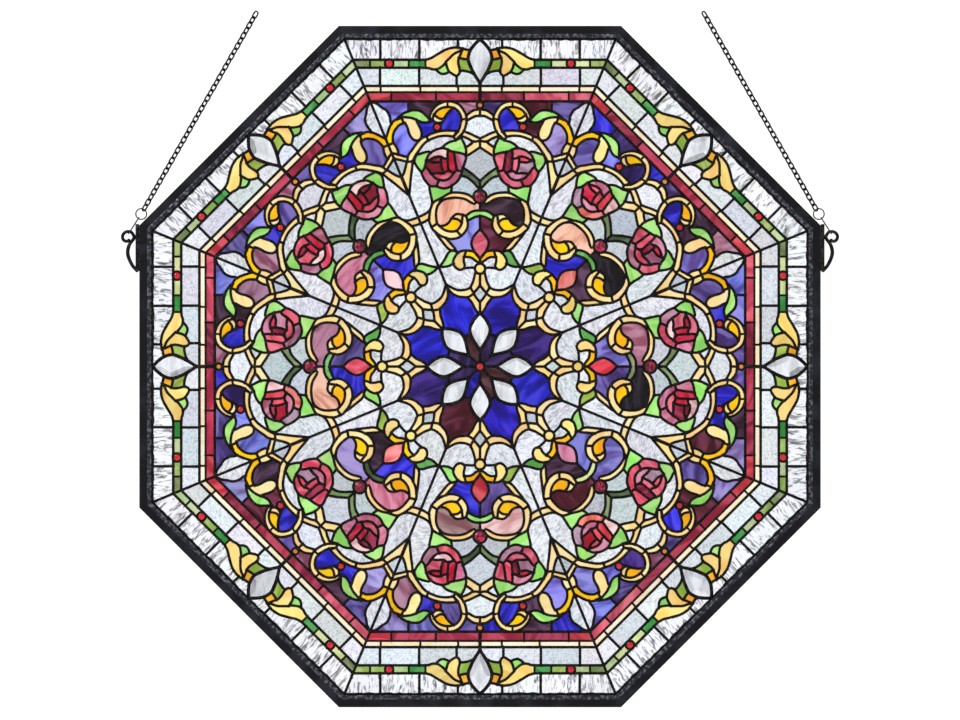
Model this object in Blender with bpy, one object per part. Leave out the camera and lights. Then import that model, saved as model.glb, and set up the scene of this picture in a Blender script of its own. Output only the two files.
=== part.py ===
"""Octagonal stained glass window that hangs on two chains.

The drawing plane of the window has x to the right, y up and z towards the viewer.
One empty turns that plane upright, so that the front of the window faces -Y.
The origin is midway between the two top links of the chains, where the window hangs.
"""
from math import cos, pi, radians, sin, tan

import bmesh
import bpy
from mathutils import Matrix, Vector

# Panel and frame, in metres
ACROSS_FLATS = 1.000
SIDES = 8
FRAME_FACE = 0.0185
FRAME_WALL = 0.0019
GLASS_THICKNESS = 0.0030
LEAD_RISE = 0.0010
FIT = 0.0003
MITRE_GAP = 0.0003
EDGE_IN_CHANNEL = 0.0140

# Rings of the border, from the frame inwards
OUTER_ROW = 0.0315
INNER_ROW = 0.0385
CREAM_BAND = 0.0092
RED_BAND = 0.0133

# Leading
LEAD_WIDTH = 0.0040
BOLD_LEAD_WIDTH = 0.0060
DIAMOND_MARGIN = 0.0030
DIAMOND_HALF_WIDTH = 0.0175

# Bevelled and cut glass
BEVEL_WIDTH = 0.0060
BEVEL_RISE = 0.0016
RUBY_RADIUS = 0.0090
CENTRE_RADIUS = 0.0085
JEWEL_RISE = 0.0026
GEM_BEVEL = 0.0030

# Drawing inside the field: shares of the field's half width, in half a sector
EYE_CENTRE, EYE_RADIUS = (0.123, 0.932), 0.062
ROSE_CENTRE, ROSE_RADIUS = (0.127, 0.747), 0.085
COMMA_CENTRE, COMMA_RADIUS = (0.116, 0.572), 0.077
RUBY_PLACE = 0.6410
BUD = ((0.0, 0.515), (0.030, 0.467), (0.0, 0.405))
LOZENGE_TOP, LOZENGE_WIDEST, LOZENGE_BOTTOM, LOZENGE_HALF_WIDTH = 0.201, 0.139, 0.061, 0.037
ARCH = ((0.0, 0.968), (0.047, 0.945), (0.056, 0.886), (0.0, 0.857))
BULB = ((0.0, 0.832), (0.040, 0.780), (0.0, 0.708))
HEART = ((0.022, 0.372), (0.036, 0.297), (0.122, 0.305), (0.150, 0.374))
SPEAR = ((0.160, 0.386), (0.177, 0.524), (0.190, 0.563), (0.225, 0.543))
STAR_TOP = 0.204
STAR = ((0.020, 0.196), (0.046, 0.262), (0.084, 0.268))
STAR_TIP = 0.292
STAR_NOTCH = (0.038, 0.138)
STAR_HEART = 0.124

# Hanging hardware
BAR_LENGTH, BAR_WIDTH, BAR_DEPTH = 0.0690, 0.0047, 0.0044
BAR_ABOVE_CORNER = 0.0019
SCROLL_WIRE = 0.0042
BELLY_REACH = 0.0140
CURL_CENTRE_OUT, CURL_BELOW_TOP = 0.0166, 0.0180
CURL_START, CURL_END = 0.0095, 0.0032
CURL_FROM, CURL_TO = 128.0, -100.0
RING_INWARDS, RING_ABOVE_CORNER = 0.0030, 0.0167
RING_RADIUS, RING_WIRE = 0.0080, 0.0018
LOOP_WIRE = 0.0012
LOOP_CATCH_ANGLE = 112.0
CHAIN_PITCH, CHAIN_WIRE, CHAIN_WIDTH = 0.0088, 0.0020, 0.0080
CHAIN_LINKS = 38
CHAIN_LEAN = radians(29.8)
LINK_BITE = 0.20

# Sizes that follow from the ones above
HALF = ACROSS_FLATS / 2
TURN = 2 * pi / SIDES
MITRE = tan(TURN / 2)
SIGHT_LINE = HALF - FRAME_FACE
OUTER_LINE = SIGHT_LINE - OUTER_ROW
CREAM_LINE = OUTER_LINE - INNER_ROW
RED_LINE = CREAM_LINE - CREAM_BAND
FIELD_HALF = RED_LINE - RED_BAND
DIAMOND_TOP = SIGHT_LINE - DIAMOND_MARGIN
DIAMOND_BOTTOM = CREAM_LINE + DIAMOND_MARGIN
CORNER = HALF * MITRE
BAR_HIGH = CORNER + BAR_ABOVE_CORNER
BAR_LOW = BAR_HIGH - BAR_LENGTH
RING_CENTRE = (HALF - RING_INWARDS, CORNER + RING_ABOVE_CORNER)
PANEL_EDGE = SIGHT_LINE + EDGE_IN_CHANNEL
GLASS_FACE = GLASS_THICKNESS / 2
LEAD_LOW = GLASS_FACE + FIT
LEAD_HIGH = LEAD_LOW + LEAD_RISE
CHANNEL_HALF = LEAD_HIGH + FIT
FRAME_HALF_DEPTH = CHANNEL_HALF + FRAME_WALL
LINK_HALF_LENGTH = (CHAIN_PITCH + CHAIN_WIRE * (1 - LINK_BITE)) / 2
LINK_HALF_WIDTH = (CHAIN_WIDTH - CHAIN_WIRE) / 2
CHAIN_START = RING_RADIUS - RING_WIRE / 2 - CHAIN_WIRE / 2 - FIT
HANG_REACH = CHAIN_START + (CHAIN_LINKS - 1) * CHAIN_PITCH + 2 * LINK_HALF_LENGTH - CHAIN_WIRE / 2
BORDER_ROWS = ((SIGHT_LINE, OUTER_LINE), (OUTER_LINE, CREAM_LINE), (CREAM_LINE, FIELD_HALF))
PANEL_DROP = RING_CENTRE[1] + HANG_REACH * cos(CHAIN_LEAN)

COLOURS = {
    "black_frame": ((0.012, 0.011, 0.010), 0.42, 0.6),
    "solder": ((0.030, 0.026, 0.022), 0.40, 0.8),
    "clear_glass": ((0.72, 0.76, 0.80), 0.12, 0.0),
    "cream_glass": ((0.93, 0.73, 0.33), 0.25, 0.0),
    "red_glass": ((0.42, 0.04, 0.07), 0.20, 0.0),
    "field_glass": ((0.16, 0.13, 0.50), 0.20, 0.0),
    "blue_glass": ((0.015, 0.015, 0.30), 0.20, 0.0),
    "ruby_glass": ((0.45, 0.00, 0.02), 0.08, 0.0),
    "dark_bronze": ((0.040, 0.030, 0.022), 0.40, 0.9),
}


def clear_scene():
    for item in list(bpy.data.objects):
        bpy.data.objects.remove(item, do_unlink=True)


def make_material(name):
    colour, roughness, metallic = COLOURS[name]
    material = bpy.data.materials.new(name)
    material.use_nodes = True
    shader = material.node_tree.nodes["Principled BSDF"]
    shader.inputs["Base Color"].default_value = (*colour, 1.0)
    shader.inputs["Roughness"].default_value = roughness
    shader.inputs["Metallic"].default_value = metallic
    return material


def make_collection(name):
    collection = bpy.data.collections.new(name)
    bpy.context.scene.collection.children.link(collection)
    return collection


def add_object(name, data, material, parent):
    item = bpy.data.objects.new(name, data)
    window.objects.link(item)
    if not data.materials:
        data.materials.append(materials[material])
    item.parent = parent
    return item


# Drawing in the window's plane

def turned(points, sector, mirrored=False):
    """Points of a half sector, drawn in the given sector (0 at the top, then clockwise)."""
    flip = -1 if mirrored else 1
    turn = Matrix.Rotation(-TURN * sector, 2)
    return [turn @ Vector((flip * x, y)) for x, y in points]


def shares(*points):
    return [Vector(point) * FIELD_HALF for point in points]


def both_halves(points):
    """Close a half outline, whose ends lie on the sector's middle line, with its mirror."""
    mirror = [Vector((-p.x, p.y)) for p in reversed(points)]
    inner = [p for p in mirror if abs(p.x) > FIT]
    return list(points) + inner


def on_mitre(distance):
    return Vector((distance * MITRE, distance))


def across_mitre(points):
    """The same points on the far side of the mitre line, in reverse order."""
    line = Vector((sin(TURN / 2), cos(TURN / 2)))
    return [2 * p.dot(line) * line - p for p in reversed(points)]


def octagon(flat):
    corner = flat / cos(TURN / 2)
    return [Vector((corner * sin(TURN * (i + 0.5)), corner * cos(TURN * (i + 0.5)))) for i in range(SIDES)]


def circle(centre, radius, count, start=0.0):
    steps = [start + 2 * pi * i / count for i in range(count)]
    return [Vector((centre[0] + radius * sin(a), centre[1] + radius * cos(a))) for a in steps]


def inset(outline, distance):
    """Move each edge of a closed outline inwards by the same distance."""
    count = len(outline)
    area = sum(outline[i - 1].cross(outline[i]) for i in range(count))
    side = 1 if area > 0 else -1
    moved = []
    for i, point in enumerate(outline):
        before = (point - outline[i - 1]).normalized()
        after = (outline[(i + 1) % count] - point).normalized()
        normals = [Vector((-d.y, d.x)) * side for d in (before, after)]
        reach = distance / (1 + normals[0].dot(normals[1]))
        moved.append(point + (normals[0] + normals[1]) * reach)
    return moved


# Solids

def flat_curve(name, outlines, thickness):
    curve = bpy.data.curves.new(name, "CURVE")
    curve.dimensions = "2D"
    curve.fill_mode = "BOTH"
    curve.extrude = thickness / 2
    for outline in outlines:
        spline = curve.splines.new("POLY")
        spline.points.add(len(outline) - 1)
        for target, point in zip(spline.points, outline):
            target.co = (point.x, point.y, 0.0, 1.0)
        spline.use_cyclic_u = True
    return curve


def plate(name, outlines, low, high, material, parent):
    """A flat piece from one outer outline and any number of holes."""
    item = add_object(name, flat_curve(name, outlines, high - low), material, parent)
    item.location.z = (low + high) / 2
    return item


def frame_length(name, sector, parent):
    """One mitred length of U-shaped channel, drawn at the top and turned to its side."""
    web = HALF - FRAME_WALL
    profile = ((HALF, FRAME_HALF_DEPTH), (SIGHT_LINE, FRAME_HALF_DEPTH), (SIGHT_LINE, CHANNEL_HALF),
               (web, CHANNEL_HALF), (web, -CHANNEL_HALF), (SIGHT_LINE, -CHANNEL_HALF),
               (SIGHT_LINE, -FRAME_HALF_DEPTH), (HALF, -FRAME_HALF_DEPTH))
    bm = bmesh.new()
    start = bm.faces.new([bm.verts.new((-HALF, v, z)) for v, z in profile])
    pulled = bmesh.ops.extrude_face_region(bm, geom=[start])["geom"]
    bmesh.ops.translate(bm, vec=(ACROSS_FLATS, 0, 0), verts=[v for v in pulled if isinstance(v, bmesh.types.BMVert)])
    for end in (-1, 1):
        normal = Vector((end * cos(TURN / 2), -sin(TURN / 2), 0))
        cut = bmesh.ops.bisect_plane(bm, geom=bm.verts[:] + bm.edges[:] + bm.faces[:], dist=1e-7,
                                     plane_co=-normal * MITRE_GAP / 2, plane_no=normal, clear_outer=True)
        rim = [e for e in cut["geom_cut"] if isinstance(e, bmesh.types.BMEdge)]
        bmesh.ops.contextual_create(bm, geom=rim)
    bmesh.ops.recalc_face_normals(bm, faces=bm.faces)
    mesh = bpy.data.meshes.new(name)
    bm.to_mesh(mesh)
    bm.free()
    item = add_object(name, mesh, "black_frame", parent)
    item.rotation_euler.z = -TURN * sector
    return item


def cut_glass(name, outline, steps, material, parent, sector):
    """A thick piece: its outline at glass thickness, then inset steps (width, rise) in front."""
    bm = bmesh.new()
    base = bm.faces.new([bm.verts.new((p.x, p.y, -GLASS_FACE)) for p in outline])
    base.normal_update()
    pulled = bmesh.ops.extrude_face_region(bm, geom=[base])["geom"]
    bmesh.ops.translate(bm, vec=(0, 0, GLASS_THICKNESS), verts=[v for v in pulled if isinstance(v, bmesh.types.BMVert)])
    front = max(bm.faces, key=lambda f: f.calc_center_median().z)
    bmesh.ops.recalc_face_normals(bm, faces=bm.faces)
    for width, rise in steps:
        bmesh.ops.inset_region(bm, faces=[front], thickness=width, depth=0.0, use_even_offset=True)
        bmesh.ops.translate(bm, vec=(0, 0, rise), verts=front.verts)
    mesh = bpy.data.meshes.new(name)
    bm.to_mesh(mesh)
    bm.free()
    item = add_object(name, mesh, material, parent)
    item.rotation_euler.z = -TURN * sector
    return item


def closed_mesh(curve):
    """The curve's surface as a closed mesh, with the loose caps welded."""
    draft = bpy.data.objects.new(curve.name, curve)
    helpers.objects.link(draft)
    bpy.context.view_layer.update()
    mesh = bpy.data.meshes.new_from_object(draft.evaluated_get(bpy.context.evaluated_depsgraph_get()))
    bpy.data.objects.remove(draft)
    bm = bmesh.new()
    bm.from_mesh(mesh)
    bmesh.ops.remove_doubles(bm, verts=bm.verts, dist=1e-6)
    bmesh.ops.recalc_face_normals(bm, faces=bm.faces)
    bm.to_mesh(mesh)
    bm.free()
    return mesh


def curve_mesh(name, points, radius, cyclic, sides, spline_type="POLY"):
    """A round wire along the points as a closed mesh, with the caps welded."""
    curve = bpy.data.curves.new(name, "CURVE")
    curve.dimensions = "3D"
    curve.bevel_depth = radius
    curve.bevel_resolution = sides
    curve.use_fill_caps = not cyclic
    curve.resolution_u = 2
    spline = curve.splines.new(spline_type)
    if spline_type == "BEZIER":
        spline.bezier_points.add(len(points) - 1)
        for target, point in zip(spline.bezier_points, points):
            target.co = point
            target.handle_left_type = target.handle_right_type = "AUTO"
    else:
        spline.points.add(len(points) - 1)
        for target, point in zip(spline.points, points):
            target.co = (*point, 1.0)
    spline.use_cyclic_u = cyclic
    return closed_mesh(curve)


def fuse(item, other):
    """Join a second closed shape to the item where the two touch."""
    helpers.objects.link(other)
    other.parent = item.parent
    other.hide_render = True
    other.display_type = "WIRE"
    union = item.modifiers.new("fuse", "BOOLEAN")
    union.operation = "UNION"
    union.solver = "EXACT"
    union.object = other


# The window

def build_frame(parent):
    names = ("top", "top_right", "right", "bottom_right", "bottom", "bottom_left", "left", "top_left")
    for sector, place in enumerate(names):
        frame_length(f"frame_{place}", sector, parent)


def diamond_outline():
    middle = (DIAMOND_TOP + DIAMOND_BOTTOM) / 2
    return both_halves([Vector((0, DIAMOND_TOP)), Vector((DIAMOND_HALF_WIDTH, middle)), Vector((0, DIAMOND_BOTTOM))])


def lozenge_outline():
    return both_halves(shares((0, LOZENGE_TOP), (LOZENGE_HALF_WIDTH, LOZENGE_WIDEST), (0, LOZENGE_BOTTOM)))


def ruby_outline():
    return circle((0, RUBY_PLACE * FIELD_HALF), RUBY_RADIUS, 6)


def centre_outline():
    return circle((0, 0), CENTRE_RADIUS, 8, pi / 8)


def star_edge():
    """Outline round all the star's petals, one sector after another."""
    outline = []
    for sector in range(SIDES):
        half = shares(STAR[1])
        outline += turned(shares((0, STAR_TOP)), sector)
        outline += turned(half + [on_mitre(STAR_TIP * FIELD_HALF)] + across_mitre(half), sector)
    return outline


def all_sectors(outline, mirrored_too=False):
    copies = [turned(outline, sector) for sector in range(SIDES)]
    if mirrored_too:
        copies += [turned(outline, sector, mirrored=True) for sector in range(SIDES)]
    return copies


def build_glass(parent):
    """Sheets of small panes, zone by zone, with openings for the pieces set on their own."""
    low, high = -GLASS_FACE, GLASS_FACE
    ruby = inset(ruby_outline(), -FIT)
    border_holes = all_sectors(inset(diamond_outline(), -FIT))
    plate("border_glass", [octagon(PANEL_EDGE), octagon(CREAM_LINE + FIT)] + border_holes,
          low, high, "clear_glass", parent)
    plate("cream_band_glass", [octagon(CREAM_LINE), octagon(RED_LINE + FIT)], low, high, "cream_glass", parent)
    plate("red_band_glass", [octagon(RED_LINE), octagon(FIELD_HALF + FIT)], low, high, "red_glass", parent)
    plate("field_glass", [octagon(FIELD_HALF), inset(star_edge(), -FIT)] + all_sectors(ruby),
          low, high, "field_glass", parent)
    star_holes = all_sectors(inset(lozenge_outline(), -FIT)) + [inset(centre_outline(), -FIT)]
    plate("star_glass", [star_edge()] + star_holes, low, high, "blue_glass", parent)


def build_set_pieces(parent):
    """Bevelled diamonds and lozenges, and the cut jewels."""
    rim = BOLD_LEAD_WIDTH / 2 + FIT
    gem_steps = ((LEAD_WIDTH / 2 + FIT, 0.0), (GEM_BEVEL, JEWEL_RISE))
    bevel_steps = ((rim, 0.0), (BEVEL_WIDTH, BEVEL_RISE))
    star_steps = ((rim, 0.0), (BEVEL_WIDTH / 2, BEVEL_RISE))
    for sector in range(SIDES):
        number = sector + 1
        cut_glass(f"border_diamond_{number}", diamond_outline(), bevel_steps, "clear_glass", parent, sector)
        cut_glass(f"star_lozenge_{number}", lozenge_outline(), star_steps, "clear_glass", parent, sector)
        cut_glass(f"ruby_jewel_{number}", ruby_outline(), gem_steps, "ruby_glass", parent, sector)
    cut_glass("centre_jewel", centre_outline(), gem_steps, "ruby_glass", parent, 0)


def between_mitres(top, bottom):
    return both_halves([on_mitre(top), on_mitre(bottom)])


def border_cells():
    """Openings of the leading in one half sector of the border."""
    foot = DIAMOND_HALF_WIDTH + BOLD_LEAD_WIDTH / 2
    cells = []
    for top, bottom in BORDER_ROWS[:2]:
        corners = [(foot, top), (top * MITRE, top), (bottom * MITRE, bottom), (foot, bottom)]
        cells.append([Vector(corner) for corner in corners])
    return cells


def build_leading(parent):
    """The soldered leading as two pierced sheets, one in front of the glass and one behind it."""
    half = LEAD_WIDTH / 2
    bold = BOLD_LEAD_WIDTH / 2
    holes = []
    for cell in border_cells():
        holes += all_sectors(inset(cell, half), mirrored_too=True)
    holes += all_sectors(inset(between_mitres(*BORDER_ROWS[2]), half))
    field = FIELD_HALF
    rounds = ((EYE_CENTRE, EYE_RADIUS, 5), (ROSE_CENTRE, ROSE_RADIUS, 6), (COMMA_CENTRE, COMMA_RADIUS, 5))
    for centre, radius, count in rounds:
        ring = circle(Vector(centre) * field, radius * field - half, count)
        holes += all_sectors(ring, mirrored_too=True)
    for cell in (HEART, SPEAR):
        holes += all_sectors(inset(shares(*cell), half), mirrored_too=True)
    for cell in (ARCH, BULB, BUD):
        holes += all_sectors(inset(both_halves(shares(*cell)), half))
    petal = shares(STAR_NOTCH, *STAR)
    petal = petal + [on_mitre(STAR_TIP * field)] + across_mitre(petal) + [on_mitre(STAR_HEART * field)]
    holes += all_sectors(inset(petal, bold))
    holes += all_sectors(inset(diamond_outline(), bold))
    holes += all_sectors(inset(lozenge_outline(), bold))
    holes += all_sectors(inset(ruby_outline(), half))
    holes.append(inset(centre_outline(), half))
    edge = octagon(PANEL_EDGE)
    plate("leading_front", [edge] + holes, LEAD_LOW, LEAD_HIGH, "solder", parent)
    back = []
    for top, bottom in (*BORDER_ROWS, (field, STAR_TIP * field)):
        back += all_sectors(inset(between_mitres(top, bottom), half))
    plate("leading_back", [edge] + back, -LEAD_HIGH, -LEAD_LOW, "solder", parent)


# Hanging hardware, made for the right side and mirrored for the left

def flipped(points, side):
    return [Vector((side * p[0], p[1], p[2])) for p in points]


def scroll_path():
    bar_axis = HALF + FIT + SCROLL_WIRE / 2
    belly = [(0.02, 0.0), (0.50, 0.20), (1.0, 0.42), (0.75, 0.60), (0.30, 0.72)]
    path = [Vector((bar_axis + BELLY_REACH * x, BAR_LOW + BAR_LENGTH * z, 0)) for x, z in belly]
    count = 5
    for i in range(count):
        share = i / (count - 1)
        angle = radians(CURL_FROM + (CURL_TO - CURL_FROM) * share)
        radius = CURL_END + (CURL_START - CURL_END) * (1 - share) ** 0.85
        path.append(curl_centre() + radius * Vector((cos(angle), sin(angle), 0)))
    return path


def curl_centre():
    return Vector((HALF + CURL_CENTRE_OUT, BAR_HIGH - CURL_BELOW_TOP, 0))


def build_hook(side, place, parent):
    path = flipped(scroll_path(), side)
    scroll = curve_mesh(f"hook_{place}", path, SCROLL_WIRE / 2, False, 0, "BEZIER")
    item = add_object(f"hook_{place}", scroll, "dark_bronze", parent)
    bar = bpy.data.meshes.new(f"bar_{place}")
    bm = bmesh.new()
    bmesh.ops.create_cube(bm, size=1.0)
    bmesh.ops.scale(bm, vec=(BAR_WIDTH, BAR_LENGTH, BAR_DEPTH), verts=bm.verts)
    middle = (side * (HALF + FIT + BAR_WIDTH / 2), (BAR_HIGH + BAR_LOW) / 2, 0)
    bmesh.ops.translate(bm, vec=middle, verts=bm.verts)
    bm.to_mesh(bar)
    bm.free()
    fuse(item, bpy.data.objects.new(f"bar_{place}", bar))


def build_ring(side, place, parent):
    points = [(p.x, p.y, 0.0) for p in circle(RING_CENTRE, RING_RADIUS, 12)]
    mesh = curve_mesh(f"ring_{place}", flipped(points, side), RING_WIRE / 2, True, 0)
    add_object(f"ring_{place}", mesh, "dark_bronze", parent)


def build_loop(side, place, parent):
    """The wire loop that ties the ring to the hook's curl, standing square to the panel."""
    angle = radians(LOOP_CATCH_ANGLE)
    share = (CURL_FROM - LOOP_CATCH_ANGLE) / (CURL_FROM - CURL_TO)
    radius = CURL_END + (CURL_START - CURL_END) * (1 - share) ** 0.85
    catch = curl_centre() + radius * Vector((cos(angle), sin(angle), 0))
    centre = Vector((*RING_CENTRE, 0))
    along = (catch - centre).normalized()
    top = RING_RADIUS - RING_WIRE / 2 - LOOP_WIRE / 2 - FIT
    low = (catch - centre).length + SCROLL_WIRE / 2 + LOOP_WIRE / 2 + 2 * FIT
    half = SCROLL_WIRE / 2 + LOOP_WIRE / 2 + 3 * FIT
    steps = ((top, 0.5), (top + half, 1.0), (low - half, 1.0), (low, 0.5))
    front = [centre + along * reach + Vector((0, 0, half * width)) for reach, width in steps]
    back = [Vector((p.x, p.y, -p.z)) for p in reversed(front)]
    mesh = curve_mesh(f"wire_loop_{place}", flipped(front + back, side), LOOP_WIRE / 2, True, 0)
    add_object(f"wire_loop_{place}", mesh, "dark_bronze", parent)


def link_place(number, side):
    """Where one link lies; it stands at 45 degrees to the panel and square to its neighbours."""
    along = Vector((-sin(CHAIN_LEAN), cos(CHAIN_LEAN), 0))
    lean = Vector((cos(CHAIN_LEAN), sin(CHAIN_LEAN), 0))
    tilt = 1 if number % 2 else -1
    across = (lean * tilt + Vector((0, 0, 1))).normalized()
    reach = CHAIN_START + LINK_HALF_LENGTH + number * CHAIN_PITCH
    middle = Vector((*RING_CENTRE, 0)) + along * reach
    axes = Matrix((across, along, across.cross(along))).transposed().to_4x4()
    return Matrix.Scale(side, 4, Vector((1, 0, 0))) @ Matrix.Translation(middle) @ axes


def link_mesh():
    """A four-cornered link of three-sided wire, whose edge points inwards to meet the next link."""
    wire = CHAIN_WIRE / 2
    loops = []
    bm = bmesh.new()
    for grow, height in ((-wire, 0), (wire, wire), (wire, -wire)):
        width, length = LINK_HALF_WIDTH + grow, LINK_HALF_LENGTH + grow
        corners = [(width, length), (-width, length), (-width, -length), (width, -length)]
        loop = [bm.verts.new((x, y, height)) for x, y in corners]
        loops.append([bm.edges.new((loop[i - 1], loop[i])) for i in range(4)])
    for i in range(3):
        bmesh.ops.bridge_loops(bm, edges=loops[i - 1] + loops[i])
    bmesh.ops.recalc_face_normals(bm, faces=bm.faces)
    mesh = bpy.data.meshes.new("link")
    bm.to_mesh(mesh)
    bm.free()
    return mesh


def build_chain(side, place, parent):
    link = link_mesh()
    halves = []
    for parity in (0, 1):
        bm = bmesh.new()
        for number in range(parity, CHAIN_LINKS, 2):
            done = len(bm.verts)
            bm.from_mesh(link)
            bm.verts.ensure_lookup_table()
            bmesh.ops.transform(bm, matrix=link_place(number, side), verts=bm.verts[done:])
        bmesh.ops.recalc_face_normals(bm, faces=bm.faces)
        mesh = bpy.data.meshes.new(f"links_{place}_{parity}")
        bm.to_mesh(mesh)
        bm.free()
        halves.append(mesh)
    item = add_object(f"chain_{place}", halves[0], "dark_bronze", parent)
    fuse(item, bpy.data.objects.new(f"links_{place}", halves[1]))


clear_scene()
window = make_collection("stained_glass_window")
helpers = make_collection("helpers")
materials = {name: make_material(name) for name in COLOURS}
panel = bpy.data.objects.new("panel_plane", None)
window.objects.link(panel)
panel.location.z = -PANEL_DROP
panel.rotation_euler.x = pi / 2

build_frame(panel)
build_glass(panel)
build_set_pieces(panel)
build_leading(panel)
for side, place in ((1, "right"), (-1, "left")):
    build_hook(side, place, panel)
    build_ring(side, place, panel)
    build_loop(side, place, panel)
    build_chain(side, place, panel)
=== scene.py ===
import math
import random

import bmesh
import bpy
from mathutils import Matrix, Vector, noise
from mathutils.geometry import delaunay_2d_cdt


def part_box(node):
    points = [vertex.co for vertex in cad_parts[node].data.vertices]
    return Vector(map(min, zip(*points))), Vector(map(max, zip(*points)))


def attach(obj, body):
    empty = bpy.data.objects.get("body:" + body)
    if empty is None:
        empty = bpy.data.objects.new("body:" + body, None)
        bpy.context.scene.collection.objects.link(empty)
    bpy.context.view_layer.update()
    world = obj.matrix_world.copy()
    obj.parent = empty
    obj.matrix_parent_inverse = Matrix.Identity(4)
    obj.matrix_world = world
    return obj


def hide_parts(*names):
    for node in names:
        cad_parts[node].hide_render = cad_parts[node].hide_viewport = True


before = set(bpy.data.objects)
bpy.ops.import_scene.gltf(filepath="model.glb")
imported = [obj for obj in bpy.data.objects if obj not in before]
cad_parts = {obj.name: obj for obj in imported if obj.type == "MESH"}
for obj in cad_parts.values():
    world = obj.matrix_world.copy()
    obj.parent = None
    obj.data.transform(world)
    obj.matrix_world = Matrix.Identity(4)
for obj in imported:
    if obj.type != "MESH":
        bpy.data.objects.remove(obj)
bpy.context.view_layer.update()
print("frame loaded,", len(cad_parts), "nodes")

# The window hangs in the plane y = 0 and faces -Y. It is eight like sectors about its centre.
# The pattern is drawn once, in millimetres, on the right half of the top sector:
# u runs right from the sector's middle line, v outwards from the centre.
mm = 0.001
sectors = 8
sectorAngle = math.radians(360 / sectors)
mitreSlope = math.tan(sectorAngle / 2)
panelBottom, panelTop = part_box("frame_bottom")[0].z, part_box("frame_top")[1].z
panelCentre = Vector((0, 0, (panelBottom + panelTop) / 2))
panelHalf = (panelTop - panelBottom) / 2


def mitre(v):
    return (v * mitreSlope, v)


def arc(cu, cv, radius, start, end, steps=10):
    # points round a circle, by degrees clockwise from straight up
    turns = [math.radians(start + (end - start) * i / steps) for i in range(steps + 1)]
    return [(cu + radius * math.sin(t), cv + radius * math.cos(t)) for t in turns]


leadSizes = {
    "lead": 4.2,  # widths of the soldered seams
    "bold": 5.4,
    "fine": 3.4,
    "rise": 2.7,  # height of the bead over the middle of the sheet
    "step": 4.0,  # length of one facet along a curved seam
    "sides": 8,
    "unevenness": 0.07,
    "waver": 9,  # length of one swelling of the bead
    "raggedness": 0.75,  # of the seam along the frame
    "sightAt": 480.5,  # how far out that seam runs
    "sightFacets": 90,
    "jointSwell": 1.22,
    "jointRise": 1.07,
    "jointFacets": (8, 4),
    "cap": (0.45, 0.5, 0.55),  # a seam's rounded end: its reach, and its two radii
    "axisSeed": 0.5,  # every seam has a seed; those on the two axes share this one
    "weld": 0.002,
    "snap": 5.0,  # a seam that stops this near another is run on to meet it
    "touching": 0.3,  # how near counts as met, and how far past it the seam is run
    "straightFacet": 30,
}
jewelPlaces = {
    "borderRuby": ((133.3, 444.5), 6.3),
    "fieldRuby": ((62.8, 351.3), 5.4),
    "amber": ((0, 383.3), 4.6),
    "ruby": ((0, 249.3), 9.6),
    "knob": ((0, 143.5), 7.6),
    "centre": ((0, 0), 6.2),
}

borderLeads = {
    "outerRow": ("lead", [(79, 450), mitre(450)]),
    "greenRow": ("lead", [(79, 438.3), mitre(438.3)]),
    "innerRow": ("lead", [(2, 411.6), mitre(411.6)]),
    "creamRow": ("fine", [(0, 402.5), mitre(402.5)]),
    "redRow": ("lead", [(0, 389), mitre(389)]),
    "outerCross1": ("lead", [(32.5, 468), (32.5, 485)]),
    "outerCross2": ("lead", [(89, 450), (89, 485)]),
    "outerCross3": ("lead", [(146.3, 450), (146.3, 485)]),
    "greenCross1": ("fine", [(80, 438.3), (80, 450)]),
    "greenCross2": ("fine", [(104.5, 438.3), (104.5, 450)]),
    "greenCross3": ("fine", [(161.3, 438.3), (161.3, 450)]),
    "innerCross1": ("lead", [(34.3, 427), (34.3, 411.6)]),
    "innerCross2": ("lead", [(89.3, 438.3), (89.3, 411.6)]),
    "innerCross3": ("lead", [(146.7, 438.3), (146.7, 411.6)]),
    "creamCross1": ("fine", [(32, 411.6), (32, 402.5)]),
    "creamCross2": ("fine", [(87.5, 411.6), (87.5, 402.5)]),
    "creamCross3": ("fine", [(145.7, 411.6), (145.7, 402.5)]),
    "redCross1": ("fine", [(64.7, 402.5), (64.7, 389)]),
    "redCross2": ("fine", [(130.2, 402.5), (130.2, 389)]),
    "diamondSide": ("bold", [(0, 480), (7.5, 473), (14.5, 463.5), (17.5, 452), (15.5, 444),
                             (9, 430), (0, 416)]),
    "petalCrest": ("lead", [(14.7, 464), (22, 465.3), (32, 468), (42, 467.3), (50, 465),
                            (58.7, 460.3), (65.3, 456.3), (72, 452.3), (79, 450.2)]),
    "petalUnder": ("lead", [(25, 466.5), (30, 462.5), (35.3, 460.3), (40, 457), (44.7, 452.3),
                            (49.3, 447.7), (52, 443.7), (56, 440.3), (60.7, 437), (64.7, 435.7)]),
    "petalTail": ("lead", [(64.7, 435.7), (70, 436), (74.7, 437.7), (80, 438.3)]),
    "leafLeft": ("lead", [(25, 466.5), (28.7, 457.7), (31.3, 452.3), (32, 447), (31.3, 441.7),
                          (30, 437), (29.3, 433)]),
    "leafFoot": ("lead", [(29.3, 433), (31.3, 428.3), (34.7, 426.3), (38, 427.7), (42, 430.3),
                          (45.3, 432.3)]),
    "leafRight": ("lead", [(45.3, 432.3), (47.3, 436.3), (48.7, 440.3), (50, 446.5)]),
    "amberFoot": ("lead", [(17.5, 450.5), (23, 451), (31, 453)]),
    "greenFoot": ("lead", [(9, 428.5), (14.7, 431.7), (20.7, 433.3), (26.7, 434), (29.3, 433.5)]),
    "greenTail": ("lead", [(45.3, 432.3), (49.3, 430.3), (54, 429), (58.7, 430.3), (62.7, 433.7),
                           (64.7, 435.7)]),
}
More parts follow.
